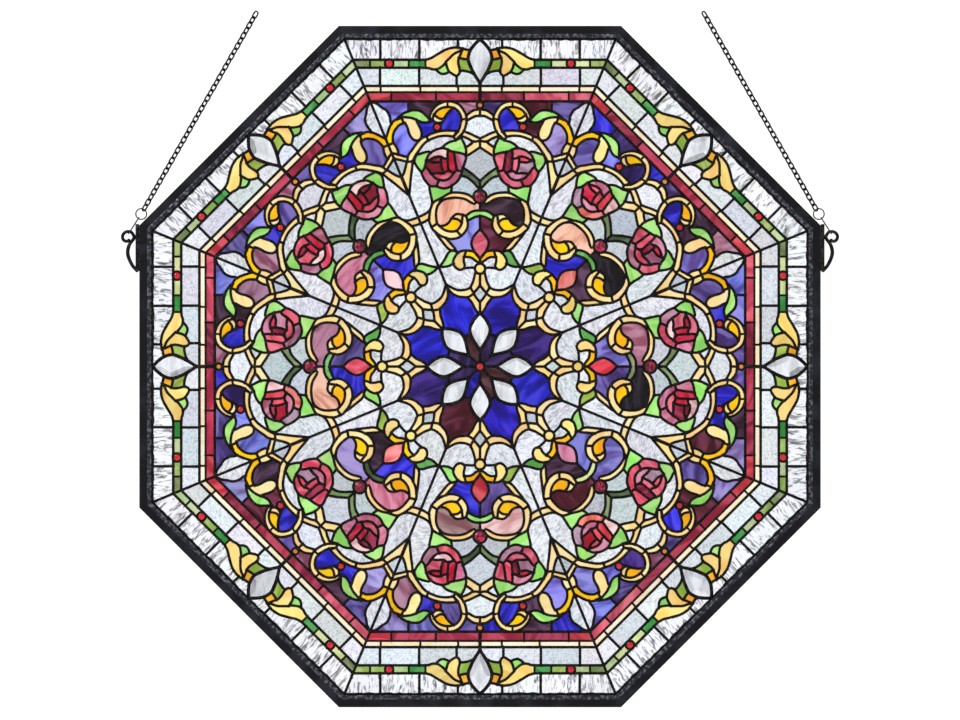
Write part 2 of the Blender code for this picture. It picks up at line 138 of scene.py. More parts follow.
eyeLeads = {
    "archOuter": ("lead", [(0, 377.3), (9.6, 375.8), (16.2, 371.4), (20, 368.3)]),
    "archInner": ("lead", [(0, 367.7), (6.7, 367.4), (13.3, 364.1), (19, 361)]),
    "eyeOuter": ("lead", [(20, 368.3), (23.5, 375.1), (28.7, 382.4), (36, 387.2), (46.3, 389.3),
                          (55.1, 387.5), (62.4, 383.9), (69, 377.3), (72.7, 370.7), (73.8, 365.5),
                          (72, 360.5)]),
    "eyeInner": ("lead", [(27.5, 361), (27.8, 366), (29.4, 370.7), (33.8, 376.5), (39.7, 379.8),
                          (47.7, 380.8), (56.5, 379.1), (63.1, 375.1), (67.5, 369.2),
                          (69.7, 363.3)]),
    "eyeCross1": ("fine", [(47.8, 388.6), (47.6, 380.8)]),
    "eyeCross2": ("fine", [(19.6, 364), (27.5, 362)]),
    "neckLeft": ("lead", [(20, 368.3), (19.5, 361), (20.6, 354), (23, 346.5), (27, 340.6),
                          (31.6, 336.2), (36, 332.2)]),
    "neckFoot": ("lead", [(36, 332), (38.9, 337.3)]),
    "neckRight": ("lead", [(27.5, 361), (29.4, 352.3), (31.6, 346.5), (35.3, 341.3),
                           (38.9, 337.3)]),
    "goldSide": ("lead", [(38.5, 379.3), (43.3, 375.8), (47.7, 371.4), (50.7, 367), (53.6, 361.9),
                          (56.5, 356.7), (59, 353.5)]),
    "goldFoot": ("lead", [(52.5, 364.3), (58, 363.3), (63.9, 366.5), (67.3, 369.5)]),
    "crescent": ("lead", [(55.5, 358.8), (61.7, 357.3), (66.8, 359), (70, 363), (72, 360.5)]),
    "jewelTop": ("fine", [(62.8, 357.6), (62.8, 356.6)]),
    "jewelFoot": ("fine", [(62.8, 346.1), (62.8, 344.6)]),
    "leafTop": ("lead", [(72, 360.5), (75, 363.5), (79.8, 368.6), (85.2, 373.4), (91.2, 375.8),
                         (99, 375.8), (106.8, 374), (112.8, 371), (117.6, 367.4), (122, 363)]),
    "leafUnder": ("lead", [(72, 360.5), (79.8, 357.8), (87, 359), (93.6, 362), (100.8, 364.7),
                           (108, 365.6), (115.2, 365.9), (119, 365.5)]),
    "palePetal": ("lead", [(93.6, 362), (91.8, 357.2), (88.2, 350.6), (85.8, 344), (85.8, 338),
                           (87.6, 333.8), (91.8, 331.4), (97.2, 332.6), (101.4, 336.8),
                           (104.4, 342.8), (105.6, 348.2), (108, 354.2), (110.4, 357.2),
                           (113, 359.5), (115, 365.9)]),
    "petalFoot": ("fine", [(88, 334), (87, 332.4)]),
    "amberOuter": ("lead", [(115, 364.5), (120, 363.2), (124.8, 361.4), (129, 357.8), (132, 352.4),
                            (134.4, 346.4), (136.2, 340.4), (138.2, 334)]),
    "amberInner": ("lead", [(110.4, 357.2), (117.6, 354.8), (122.4, 350), (126, 344.6),
                            (127.8, 338), (127.8, 332), (127.5, 328)]),
    "amberFoot": ("lead", [(127.5, 328), (131, 326.3), (134.6, 325)]),
    "mitreLeaf": ("lead", [(161.1, 389), (154, 386.5), (150, 384.8), (144, 380), (138, 376.4),
                           (134.4, 371.6), (132, 365.6), (131.5, 360.2), (130.5, 356.5)]),
    "groundCross": ("lead", [(105, 389), (105, 374.5)]),
    "tileSide": ("lead", [(127.5, 328), (124, 324), (121.5, 319.5), (120, 315), (120, 311)]),
    "lintelTop": ("lead", [(106.2, 307.8), (110, 308), (115, 309.5), (120, 311), (125, 312.3),
                           (129.6, 313)]),
    "lintelFoot": ("lead", [(99, 301), (106.5, 300.5), (115, 302.5), (120, 303.5),
                            (126.4, 305.2)]),
    "lintelEnd": ("lead", [(106.2, 307.8), (106.5, 300.5)]),
    "hoopOuter": ("lead", [(32.6, 344.7), (36, 345.7), (43.3, 346.1), (50.7, 346.1), (58, 345.4),
                           (65.3, 343.5), (72.7, 341), (78.5, 337.7), (84.4, 335.5),
                           (90.3, 330.3), (96.1, 323), (100.5, 316.4), (103, 313.5),
                           (106.2, 307.8)]),
    "hoopInner": ("lead", [(38.9, 337.3), (47, 338.4), (54.3, 338.4), (61.7, 337.3), (69, 334.7),
                           (75.6, 331.8), (82.2, 326.7), (88.1, 319.3), (92.5, 312.7),
                           (96.1, 306.9), (99, 301)]),
    "hoopCross1": ("lead", [(34, 345.3), (36.5, 341), (38.9, 337.3)]),
    "hoopCross2": ("lead", [(78.5, 337.7), (76, 331.8)]),
    "collarTop": ("lead", [(23.5, 345), (14, 341.3), (6.7, 337.7), (0, 334.7)]),
    "collarMiddle": ("lead", [(26.5, 338), (16.9, 334), (9.6, 330), (0, 331)]),
    "collarInner": ("lead", [(9.6, 330), (14, 325.9), (20.6, 321.5)]),
    "collarFoot": ("lead", [(0, 321.5), (6.7, 317.1), (13.3, 312.7), (20.3, 308.6)]),
}
roseLeads = {
    "leaf1Left": ("lead", [(28.5, 337.5), (25.7, 331.8), (23.5, 327.5), (21.4, 322.7),
                           (20.3, 317.4), (20.5, 309.5)]),
    "leaf1Top": ("lead", [(28, 336), (36.3, 331.8), (43.3, 329.7), (49.1, 327), (52.9, 323.8),
                          (56, 320.4)]),
    "roseRim": ("lead", [(20.5, 309.5), (26.7, 312.6), (32.6, 313.9), (38.5, 314.7), (43.3, 316.3),
                         (48.1, 318.5), (52.3, 320.1), (57, 320.5), (60.3, 319.5), (64.1, 318.5),
                         (68.3, 316.3), (72, 314), (75.8, 309.9), (77.9, 305.1), (79.5, 300.3),
                         (80.1, 295.5), (81.1, 291.3), (83.8, 287.5), (86, 285), (83.8, 278.5),
                         (80.6, 273.1), (76.9, 268.3), (74.2, 265.3), (69.4, 264.3), (64.1, 264.6),
                         (60.3, 263), (55, 261.4), (49.1, 261.7), (44.3, 263.5), (40.1, 266.2),
                         (36.3, 268.9), (32.6, 272.6), (29.9, 276.9), (27.3, 282.7), (26.2, 288.1),
                         (24.6, 292.9), (22.5, 298.7), (21.1, 303), (20.5, 309.5)]),
    "petal1": ("lead", [(38.5, 314.7), (37.1, 308.3), (36.6, 303), (35.8, 297.7), (34.7, 292.3),
                        (34, 288.3), (30.5, 286.8), (26.3, 287)]),
    "petal2": ("lead", [(47, 318), (47.8, 311.5), (47.5, 306.2), (47.5, 300.9), (47, 295.5),
                        (46.5, 290.2), (43.8, 287), (40.6, 285)]),
    "petal3": ("lead", [(34, 288.3), (37.4, 285.4), (40.1, 281.7), (43.3, 277.4), (48.1, 274.2),
                        (53.4, 273.1), (59.3, 273.7), (64.6, 275.8), (68.3, 279), (71, 282.2),
                        (73.7, 285.9), (76.3, 289.7), (80.5, 293.5)]),
    "petal4": ("lead", [(38.5, 284), (40.6, 285), (44.9, 286.5), (49.1, 286.5), (52.3, 284.3),
                        (56.6, 283.3), (61.9, 283.8), (71.5, 282.8)]),
    "petal5": ("lead", [(47.6, 305), (52.3, 305.1), (55.5, 306.7), (60.3, 308.1), (65.7, 307.3),
                        (70.5, 305.1), (74.2, 303), (78.5, 302)]),
    "petal6": ("lead", [(57, 307), (57.5, 299.8), (56.1, 292), (53.5, 284)]),
    "petal7": ("lead", [(57.4, 300), (63, 299.8), (68.3, 299.3), (73.7, 300.9), (78, 302)]),
    "petal8": ("lead", [(59.5, 273.7), (61.9, 269.4), (63.5, 264.6)]),
    "leaf2Top": ("lead", [(72, 314), (75.3, 315.3), (80.1, 314.5), (84.9, 313.1), (89.1, 311.5),
                          (93, 310.5)]),
    "leaf2Right": ("lead", [(93, 311.5), (95.5, 305), (96, 300), (93, 294), (89.7, 289.5),
                            (86, 285)]),
    "leaf3Left": ("lead", [(41, 265.5), (41.7, 260.3), (42.7, 255)]),
    "leaf3Right": ("lead", [(74.2, 265.3), (74, 259.7), (72.3, 252), (70, 241.3)]),
    "stemUpper": ("lead", [(25, 292), (18.7, 287.7), (12, 283), (6.7, 278.3), (0, 272.3)]),
    "stemUnder": ("lead", [(28.3, 280), (21.3, 278.3), (15.3, 275), (10, 270.3), (4, 263.7),
                           (0, 259.5)]),
}
commaLeads = {
    "hoodOuter": ("lead", [(8.7, 246), (15.3, 251), (22, 253.7), (29.3, 255), (37.3, 255.3),
                           (42.7, 255), (50, 251.5), (56, 247.7), (62.7, 244.3), (68.7, 240.5),
                           (72, 233), (74.3, 221), (74.5, 213), (71, 204.5), (68.7, 200.3),
                           (64, 196.3), (58.7, 192.3), (52, 189.3), (45.3, 187.3), (38.7, 187.3),
                           (32, 189), (27.3, 192.3)]),
    "hoodInner": ("lead", [(8.4, 238.3), (14, 241), (20.7, 245), (28, 247), (36, 247.7), (44, 247),
                           (50.7, 245.7), (56, 243), (60, 239), (62.7, 234.3), (64.3, 228),
                           (64.5, 220), (63, 210), (59, 206), (54, 201.5), (47.3, 198.7),
                           (40, 198), (34, 199)]),
    "hoodCross1": ("lead", [(62.5, 210), (71, 204.5)]),
    "hoodCross2": ("lead", [(28, 192.5), (31.5, 196), (34, 199)]),
    "hoodCross3": ("lead", [(56.5, 248), (59.5, 240)]),
    "curlOuter": ("lead", [(20.5, 221), (18, 213), (18, 206), (20, 200.5), (24, 195),
                           (27.3, 192.3)]),
    "curlInner": ("lead", [(25.5, 221.5), (26.5, 213), (28, 207), (31, 202.5), (34, 199)]),
    "commaFoot": ("lead", [(20.5, 221), (30, 223.5), (36, 223), (42, 217), (46, 211), (52, 207),
                           (59, 206)]),
    "tileFoot": ("lead", [(27, 211), (31, 215), (36, 216.8), (42, 217)]),
    "archOver": ("lead", [(0, 229), (8, 228.5), (15, 225.5), (20.5, 221)]),
    "archUnder": ("lead", [(0, 221), (7, 219.5), (13, 216.5), (18.3, 214)]),
    "sillTop": ("lead", [(70, 241.3), (71.5, 234), (76, 227), (83, 222.5), (90.7, 219)]),
    "sillFoot": ("lead", [(74.5, 217), (79, 213.8), (84, 211), (87.2, 210.5)]),
    "forkLeft": ("lead", [(99, 301), (99.5, 292), (101, 281), (102.2, 269), (103, 259),
                          (104, 251)]),
    "forkRight": ("lead", [(107.5, 300.5), (109.5, 291), (112, 283), (115, 277.7)]),
}
starLeads = {
    "budSide": ("lead", [(0, 201), (5.5, 195.5), (10.5, 188.5), (12.7, 181.5), (11.3, 175),
                         (7, 166.5), (0, 158)]),
    "stripeTop": ("lead", [(50, 188), (45.3, 183), (41.3, 178.3), (37.3, 173.7), (34, 167)]),
    "stripeFoot": ("lead", [(66, 198), (62.7, 192.3), (57.3, 185.7), (52, 179), (46.7, 173),
                            (41, 169.5)]),
    "crownTop": ("lead", [(0, 158), (4, 163.7), (8.7, 168.3), (14, 169.7), (20, 170),
                          (26.7, 169.7), (32, 167), (36, 162.3), (38.7, 157), (39.3, 153),
                          (38, 148.3), (34.7, 144.3), (30.7, 142), (26.7, 142.3), (23.3, 144.3)]),
    "crownUnder": ("lead", [(1, 152), (7.3, 155.7), (11.3, 159), (16.7, 160.7), (23, 160.5)]),
    "crownPetal": ("lead", [(20.5, 169.8), (22.3, 163.7), (23.7, 159), (23.7, 153.7),
                            (22.3, 148.3), (23.3, 144.3)]),
    "crownFoot": ("lead", [(7, 144.7), (14, 145), (23.3, 144.3)]),
    "spearTop": ("lead", [(32, 167), (38.7, 170), (44, 169), (48, 164.3), (50.7, 159),
                          (54, 153.7), (57.3, 149), (60.7, 146.5)]),
    "spearUnder": ("lead", [(39, 151), (45.3, 147.7), (52, 146.3), (60.7, 146.5)]),
    "shieldSide": ("lead", [(6.5, 139), (8.3, 131.7), (10, 125), (12.7, 119), (14, 115.7)]),
    "shieldFoot": ("lead", [(14, 115.7), (20, 113), (26.7, 112), (33.3, 112.3), (40, 115),
                            (45.3, 118), (49.9, 120.5)]),
    "studSide": ("lead", [(0, 119), (5.3, 112.3), (9, 107.5), (5.5, 101), (0, 94.5)]),
    "studCross": ("lead", [(14, 115.7), (9, 107.5)]),
    "armOuter": ("lead", [(9, 107.5), (13.5, 104), (18.5, 101.5), (25, 102), (31, 102.5),
                          (36.5, 104.7), (41, 107.5), (46, 113), (49.9, 120.5)]),
    "armInner": ("lead", [(18.5, 101.5), (12, 94), (8, 86), (4, 80), (0, 78.5)]),
    "lozengeSide": ("bold", [(0, 78.5), (8, 70), (13.5, 60), (14.8, 52), (12, 43), (6, 33),
                             (0, 24)]),
    "stemCross": ("lead", [(14.5, 49), (19, 45.9)]),
}
leadGroups = {"border": borderLeads, "eye": eyeLeads, "rose": roseLeads, "comma": commaLeads,
              "star": starLeads}
for name, group, start, end in (("borderRuby", "border", 0, 360), ("fieldRuby", "eye", 0, 360),
                                ("amber", "eye", 0, 180), ("ruby", "comma", 0, 180),
                                ("knob", "star", 0, 180), ("centre", "star", 0, 22.5)):
    (cu, cv), radius = jewelPlaces[name]
    leadGroups[group][name + "Ring"] = ("lead", arc(cu, cv, radius, start, end))

# seams that lie on the sector's middle line, and on the mitre between two sectors
midlineLeads = {
    "border": [("bold", 417, 389)],
    "eye": [("fine", 389, 387.6), ("lead", 379, 367.7), ("lead", 335, 321.5)],
    "rose": [("lead", 272.3, 258)],
    "comma": [("lead", 240, 229), ("lead", 221, 201)],
    "star": [("lead", 158, 151), ("lead", 136, 119), ("lead", 94.5, 78.5), ("lead", 24, 7)],
}
mitreLeads = {
    "border": [("lead", 485, 389)],
    "eye": [("lead", 389, 277)],
    "rose": [],
    "comma": [("bold", 277, 253), ("lead", 253, 210)],
    "star": [("lead", 210, 120.5)],
}


def isClosed(run):
    return (run[0] - run[-1]).length < 0.01


def smoothRun(points, step):
    # a curve through the points, cut to even lengths; two points stay one straight run
    points = [Vector(p) for p in points]
    if len(points) == 2:
        pieces = max(1, round((points[1] - points[0]).length / leadSizes["straightFacet"]))
        return [points[0].lerp(points[1], i / pieces) for i in range(pieces + 1)]
    closed = isClosed(points)
    before = points[-2] if closed else 2 * points[0] - points[1]
    after = points[1] if closed else 2 * points[-1] - points[-2]
    knots = [before] + points + [after]
    run = [points[0]]
    for a, b, c, d in zip(knots, knots[1:], knots[2:], knots[3:]):
        pieces = max(1, math.ceil((c - b).length / step))
        for i in range(1, pieces + 1):
            t = i / pieces
            run.append(0.5 * (2 * b + (c - a) * t + (2 * a - 5 * b + 4 * c - d) * t * t
                              + (3 * b - 3 * c + d - a) * t ** 3))
    return run


glassEdge = 485.0  # the panes run this far out, into the frame's channel
rimRuns = {"middle": [Vector((0, 0)), Vector((0, glassEdge))],
           "mitre": [Vector((0, 0)), Vector(mitre(glassEdge))],
           "top": [Vector((0, glassEdge)), Vector(mitre(glassEdge))]}


def nearestOn(point, run):
    best = (1e9, None)
    for a, b in zip(run, run[1:]):
        along = b - a
        share = max(0, min(1, (point - a).dot(along) / max(along.length_squared, 1e-9)))
        spot = a + along * share
        best = min(best, ((spot - point).length, spot), key=lambda found: found[0])
    return best


def joinEnds(runs):
    # every seam that stops close to another is run just past it, so that no pane leaks
    for name, (width, run) in runs.items():
        if isClosed(run):
            continue
        others = [other for key, (_, other) in runs.items() if key != name]
        for end, inner in ((0, 1), (-1, -2)):
            point = run[end]
            gap, spot = min((nearestOn(point, other) for other in others + list(rimRuns.values())),
                            key=lambda found: found[0])
            touching = leadSizes["touching"]
            way = spot - point if gap > touching else point - run[inner]
            if gap < leadSizes["snap"]:
                run.insert(0 if end == 0 else len(run), spot + way.normalized() * touching)


sightLine = "border/sightLine"  # the ragged seam along the frame; it bounds no pane
leadRuns = {sightLine: ("lead", [
    rimRuns["top"][0].lerp(rimRuns["top"][1], i / leadSizes["sightFacets"])
    * (leadSizes["sightAt"] / glassEdge) for i in range(leadSizes["sightFacets"] + 1)])}
for group, leads in leadGroups.items():
    for name, (width, points) in leads.items():
        leadRuns[group + "/" + name] = (width, smoothRun(points, leadSizes["step"]))
axisRuns = {
    "midline": [(group, width, [Vector((0, a)), Vector((0, b))])
                for group, leads in midlineLeads.items() for width, a, b in leads],
    "mitre": [(group, width, [Vector(mitre(a)), Vector(mitre(b))])
              for group, leads in mitreLeads.items() for width, a, b in leads],
}
joinEnds({name: lead for name, lead in leadRuns.items() if name != sightLine})
print("lead runs", len(leadRuns))


glassColours = {  # light that comes through, as 0-255 values
    "frost": (240, 242, 248), "water": (230, 234, 242), "hammered": (226, 232, 240),
    "grey": (196, 205, 214),
    "bevel": (232, 236, 242), "paleCream": (255, 232, 160), "cream": (255, 222, 150),
    "borderCream": (255, 243, 212), "petalCream": (252, 222, 138), "gold": (255, 192, 0),
    "amber": (244, 172, 40), "leaf": (160, 226, 116), "leafDark": (96, 168, 84),
    "leafOlive": (150, 176, 70), "stem": (72, 92, 58), "stemPale": (124, 144, 98),
    "green1": (52, 142, 62), "green2": (178, 196, 146), "green3": (150, 176, 92),
    "green4": (112, 126, 82), "greenPale": (206, 214, 150),
    "red": (176, 44, 70), "redBright": (208, 58, 70),
    "redRose": (216, 88, 108), "redDeep": (138, 32, 58), "royal": (36, 32, 206),
    "violet": (84, 70, 148), "starBlue": (34, 22, 176), "starDark": (44, 22, 108),
    "starBright": (34, 36, 214), "periwinkle": (120, 120, 214), "plum": (56, 30, 54),
    "maroon": (82, 20, 38), "salmon": (246, 126, 112), "rosePink": (228, 86, 112),
    "crimson": (192, 18, 50), "roseDark": (134, 20, 48), "mauvePink": (208, 120, 150),
    "coral": (240, 66, 82), "roseLight": (252, 214, 210), "roseGrey": (170, 138, 162),
    "bud": (248, 128, 128), "mauve": (166, 112, 136), "taupe": (140, 110, 112),
    "peach": (240, 186, 156), "smoke": (46, 26, 42), "black": (10, 8, 14),
    "lavender": (148, 140, 210), "blueLight": (110, 122, 232), "starStem": (46, 28, 82),
    "starBrown": (70, 36, 40),
}
roseReds = ["crimson", "roseDark", "coral", "rosePink", "crimson"]
rosePinks = ["mauvePink", "rosePink", "roseLight", "redRose", "mauvePink"]
paneSeeds = {  # kind of glass: pane: (a point in it, its colour)
    # a list of eight colours goes by sector, a shorter one in turn, and a pair is left and right
    "rippled": {
        "outer1": ((20, 474), "frost"), "outer2": ((60, 475), "frost"),
        "outer3": ((115, 465), "frost"), "outer4": ((165, 465), "frost"),
    },
    "water": {
        "mitreLeaf": ((142, 365), "water"), "crescent": ((62, 329), "water"),
        "long": ((90, 252), "water"), "spear": ((62, 180), "water"),
        "crown": ((13, 152), "water"), "heart": ((30, 128), "water"),
        "besideLeaf": ((21, 331), "water"),
    },
    "hammered": {
        "inner1": ((18, 422), "hammered"), "inner2": ((60, 422), "hammered"),
        "inner3": ((115, 425), "hammered"), "inner4": ((158, 425), "hammered"),
        "shield": ((8, 352), "hammered"), "triangle": ((115, 293), "grey"),
        "besideRose": ((8, 297), "grey"), "belowStem": ((22, 265), "grey"),
        "stud": ((2, 107), "grey"),
    },
    "cream": {
        "border1": ((16, 407), "borderCream"), "border2": ((60, 407), "borderCream"),
        "border3": ((115, 407), "borderCream"), "border4": ((155, 407), "borderCream"),
        "arch": ((9, 371.5), "cream"), "eye1": ((32, 381), "cream"),
        "eye2": ((63, 379.5), "cream"), "neck": ((24, 353), "cream"),
        "crescent": ((61, 360), "cream"), "palePetal": ((95, 345), "paleCream"),
        "tile1": ((126, 318), "cream"), "tile2": ((115, 305.5), "cream"),
        "fork": ((105, 284), "cream"), "collar1": ((13, 336), "cream"),
        "collar2": ((10, 322), "cream"), "hoop1": ((56, 342), "cream"),
        "hoop2": ((92, 321), "cream"), "hood1": ((30, 251), "cream"),
        "hood2": ((69, 219), "cream"), "hood3": ((48, 193.5), "cream"),
        "curl": ((22, 206), "cream"), "tile3": ((32, 219.5), "cream"),
        "stripe": ((48, 180), "cream"), "sill": ((80, 218.5), "cream"),
        "narrow": ((4, 127), "cream"), "armArc": ((27, 107.5), "cream"),
        "arm": ((9, 97), "cream"),
    },
    "gold": {
        "petalCrest": ((62, 452), "petalCream"), "petalSide": ((38, 443), "petalCream"),
        "amberPetal": ((22, 457), "amber"), "teardrop": ((54, 371), "gold"),
        "amberArc": ((130, 345), "gold"), "curlHeart": ((42, 206), "gold"),
        "crownArc": ((11, 164.5), "gold"), "crownPetal": ((30, 155), "petalCream"),
        "knob": ((2, 143.5), "petalCream"),
    },
    "green": {
        "petalLeft": ((22, 443), "leafOlive"), "petalRight": ((54, 434), "leaf"),
        "line1": ((92, 444.5), "green1"),
        "line2": ((118, 444.5), ["green2", "greenPale", "green3"]),
        "line3": ((147, 444.5), ["green3", "greenPale", "green2"]),
        "line4": ((170, 444.5), ["green4", "green3", "green4", "green2"]),
        "eyeLeaf": ((95, 369), "leaf"), "leaf1": ((33, 323), "leaf"), "leaf2": ((87, 302), "leaf"),
        "leaf3": ((60, 256), "leaf"), "stem": ((14, 279), ["stem", "stemPale", "stemPale"]),
        "arch": ((6, 225), ["leaf", "leafDark", "stemPale", "greenPale", "leaf", "stem",
                            "leafDark", "leafDark"]),
        "spearLeaf": ((44, 160), ["leaf", "leafDark", "leafOlive"]),
    },
    "red": {
        "row1": ((30, 396), ["red", "redDeep", "red"]),
        "row2": ((100, 396), ["red", "redRose", "redDeep"]),
        "row3": ((145, 396), ["redBright", "redRose", "redBright"]),
    },
    "ground": {
        "top": ((12, 382), [("mauve", "violet"), ("royal", "violet"), ("violet", "violet"),
                            ("violet", "mauve"), ("royal", "violet"), ("mauve", "violet"),
                            ("royal", "mauve"), ("mauve", "violet")]),
        "middle": ((88, 382), ["plum", "maroon", "violet", "plum", "periwinkle"]),
        "side": ((120, 378), [("periwinkle", "violet"), ("royal", "mauve"),
                              ("blueLight", "lavender"), ("lavender", "blueLight"),
                              ("royal", "lavender"), ("violet", "lavender"),
                              ("violet", "blueLight"), ("violet", "lavender")]),
        "eyeBlue": ((38, 360), ["royal", "royal", "starDark", "royal", "violet"]),
        "besideHoop": ((76, 350), ["royal", "maroon", "blueLight", "plum", "royal"]),
        "behindArc": ((115, 335), [("blueLight", "lavender"), ("violet", "periwinkle"),
                                   ("violet", "maroon"), ("violet", "periwinkle"),
                                   ("periwinkle", "mauve"), ("lavender", "plum"),
                                   ("blueLight", "mauve"), ("mauve", "violet")]),
        "besideBud": ((22, 185), [("periwinkle", "maroon"), ("royal", "plum"),
                                  ("periwinkle", "violet"), ("blueLight", "plum"),
                                  ("violet", "royal"), ("royal", "plum"), ("royal", "violet"),
                                  ("periwinkle", "royal")]),
    },
    "rose": {
        "petal1": ((29, 302), rosePinks), "petal2": ((42, 303), roseReds),
        "petal3": ((58, 313), rosePinks[2:] + rosePinks[:2]),
        "petal4": ((65, 303), roseReds[1:] + roseReds[:1]), "petal5": ((51, 298), roseReds[::-1]),
        "petal6": ((66, 293), ["roseDark", "roseGrey", "crimson", "mauve", "redRose"]),
        "petal7": ((56, 279), rosePinks[3:] + rosePinks[:3]),
        "petal8": ((42, 272), ["mauvePink", "redRose", "salmon", "mauve", "rosePink"]),
        "petal9": ((78, 280), ["mauvePink", "rosePink", "roseGrey", "redRose", "mauve"]),
        "bud": ((3, 182), ["rosePink", "salmon", "coral", "mauvePink", "redBright", "bud",
                           "rosePink", "roseLight"]),
        "comma": ((48, 232), [("peach", "smoke"), ("peach", "black"), ("mauve", "black"),
                              ("periwinkle", "maroon"), ("roseLight", "taupe"),
                              ("mauvePink", "lavender"), ("peach", "mauve"),
                              ("mauvePink", "black")]),
    },
    "star": {
        "petal": ((30, 80), ["starBlue", "starDark", "starBright", "starBlue", "maroon",
                             "starDark", "starBright", "starBright"]),
        "stem": ((9, 24), ["starStem", "starBrown", "starStem", "starBlue", "starBrown"]),
    },
    "jewel": {name: ((place[0] + 0.3, place[1] + 1), "hammered")
              for name, (place, _) in jewelPlaces.items() if name != "knob"},
    "diamond": {"diamond": ((4, 455), "bevel"), "lozenge": ((4, 53), "bevel")},
}
paneSettings = {
    "thickness": 3.0 * mm,
    "sliver": 16.0,  # in square millimetres
    "near": 0.01,  # millimetres by which a corner may miss an outline
    "onAxis": 0.05,
    "slack": 0.5,  # how far a pane's edge may pass the end of the seam that covers it
    "weld": 0.02 * mm,
}


def sides(tri):
    return [tuple(sorted(pair)) for pair in zip(tri, tri[1:] + tri[:1])]


def layOutPanes():
    # all seams and the half sector's own outline as one net, cut into triangles, and the
    # triangles gathered into panes wherever no seam parts them
    near = paneSettings["near"]
    points, edges = [], []
    seamRuns = [run for name, (_, run) in leadRuns.items() if name != sightLine]
    for run in list(rimRuns.values()) + seamRuns:
        edges += [(len(points) + i, len(points) + i + 1) for i in range(len(run) - 1)]
        points += run
    spots, netEdges, tris, _, fromEdges, _ = delaunay_2d_cdt(points, edges, [], 0, near)
    seams = {tuple(sorted(e)) for e, made in zip(netEdges, fromEdges) if made}
    keep = []
    for tri in tris:
        centre = sum((spots[i] for i in tri), Vector((0, 0))) / 3
        if -near < centre.x < centre.y * mitreSlope + near and centre.y < glassEdge:
            keep.append(tuple(tri))
    beside = {}
    for number, tri in enumerate(keep):
        for edge in sides(tri):
            beside.setdefault(edge, []).append(number)
    pane = [None] * len(keep)
    count = 0
    for first in range(len(keep)):
        if pane[first] is not None:
            continue
        waiting = [first]
        pane[first] = count
        while waiting:
            for edge in sides(keep[waiting.pop()]):
                if edge in seams:
                    continue
                for other in beside[edge]:
                    if pane[other] is None:
                        pane[other] = count
                        waiting.append(other)
        count += 1
    sizes = [0.0] * count
    for number, tri in enumerate(keep):
        a, b, c = (spots[i] for i in tri)
        sizes[pane[number]] += abs((b - a).cross(c - a)) / 2
    return spots, keep, beside, pane, sizes


def inTriangle(p, a, b, c):
    turns = [(q - o).cross(p - o) for o, q in ((a, b), (b, c), (c, a))]
    return all(t >= 0 for t in turns) or all(t <= 0 for t in turns)


spots, paneTris, besideEdge, paneOf, paneSizes = layOutPanes()
paneNames = {}
for kind, panes in paneSeeds.items():
    for name, (point, _) in panes.items():
        point = Vector(point)
        found = next(paneOf[i] for i, tri in enumerate(paneTris)
                     if inTriangle(point, *(spots[j] for j in tri)))
        paneNames[found] = (kind, name)
# slivers between crossing seams join the biggest pane beside them
for number, size in enumerate(paneSizes):
    if number in paneNames or size > paneSettings["sliver"]:
        continue
    around = {paneOf[other] for i, tri in enumerate(paneTris) if paneOf[i] == number
              for edge in sides(tri) for other in besideEdge[edge]} - {number}
    into = max(around, key=lambda n: paneSizes[n])
    paneOf = [into if n == number else n for n in paneOf]
print("panes", len(set(paneOf)), "named", len(paneNames))


def linear(colour):
    return [((c / 255 + 0.055) / 1.055) ** 2.4 if c > 10 else c / 255 / 12.92 for c in colour]


def aroundTheWindow(bm, mirrored=True):
    # the half sector's mesh becomes the whole window
    if mirrored:
        copy = bmesh.ops.duplicate(bm, geom=bm.verts[:] + bm.edges[:] + bm.faces[:])["geom"]
        copyVerts = [g for g in copy if isinstance(g, bmesh.types.BMVert)]
        copyFaces = [g for g in copy if isinstance(g, bmesh.types.BMFace)]
        bmesh.ops.scale(bm, vec=(-1, 1, 1), verts=copyVerts)
        bmesh.ops.reverse_faces(bm, faces=copyFaces)
    bmesh.ops.spin(bm, geom=bm.verts[:] + bm.edges[:] + bm.faces[:], cent=(0, 0, 0),
                   axis=(0, 1, 0), angle=(sectors - 1) * sectorAngle, steps=sectors - 1,
                   use_duplicate=True)


def addObject(name, data):
    item = bpy.data.objects.new(name, data)
    bpy.context.scene.collection.objects.link(item)
    return item


def finishPiece(bm, name, material, nodes=(), smooth=True, centred=True):
    # the mesh is moved from the drawing to where the window hangs, and its object rides there
    if centred:
        bmesh.ops.translate(bm, vec=panelCentre, verts=bm.verts[:])
    mesh = bpy.data.meshes.new(name)
    bm.to_mesh(mesh)
    bm.free()
    if smooth:
        mesh.shade_smooth()
    mesh.materials.append(material)
    piece = addObject(name, mesh)
    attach(piece, "root")
    if nodes:
        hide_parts(*nodes)
    return piece


def newSocket(group, name, inOut, kind, value=None):
    socket = group.interface.new_socket(name=name, in_out=inOut, socket_type="NodeSocket" + kind)
    if value is not None:
        socket.default_value = value


def linkedNode(nodes, links, kind, inputs=None, **settings):
    # one node with its settings; each input is a value or another node's socket
    node = nodes.new("ShaderNode" + kind)
    for name, value in settings.items():
        setattr(node, name, value)
    for name, value in (inputs or {}).items():
        if isinstance(value, bpy.types.NodeSocket):
            links.new(value, node.inputs[name])
        else:
            node.inputs[name].default_value = value
    return node


def mixed(nodes, links, share, first, second, blend="MIX"):
    # two colours mixed; they are the node's sockets 6 and 7
    return linkedNode(nodes, links, "Mix", {"Factor": share, 6: first, 7: second},
                      data_type="RGBA", blend_type=blend).outputs[2]


def product(nodes, links, first, second):
    return linkedNode(nodes, links, "Math", {0: first, 1: second},
                      operation="MULTIPLY").outputs[0]


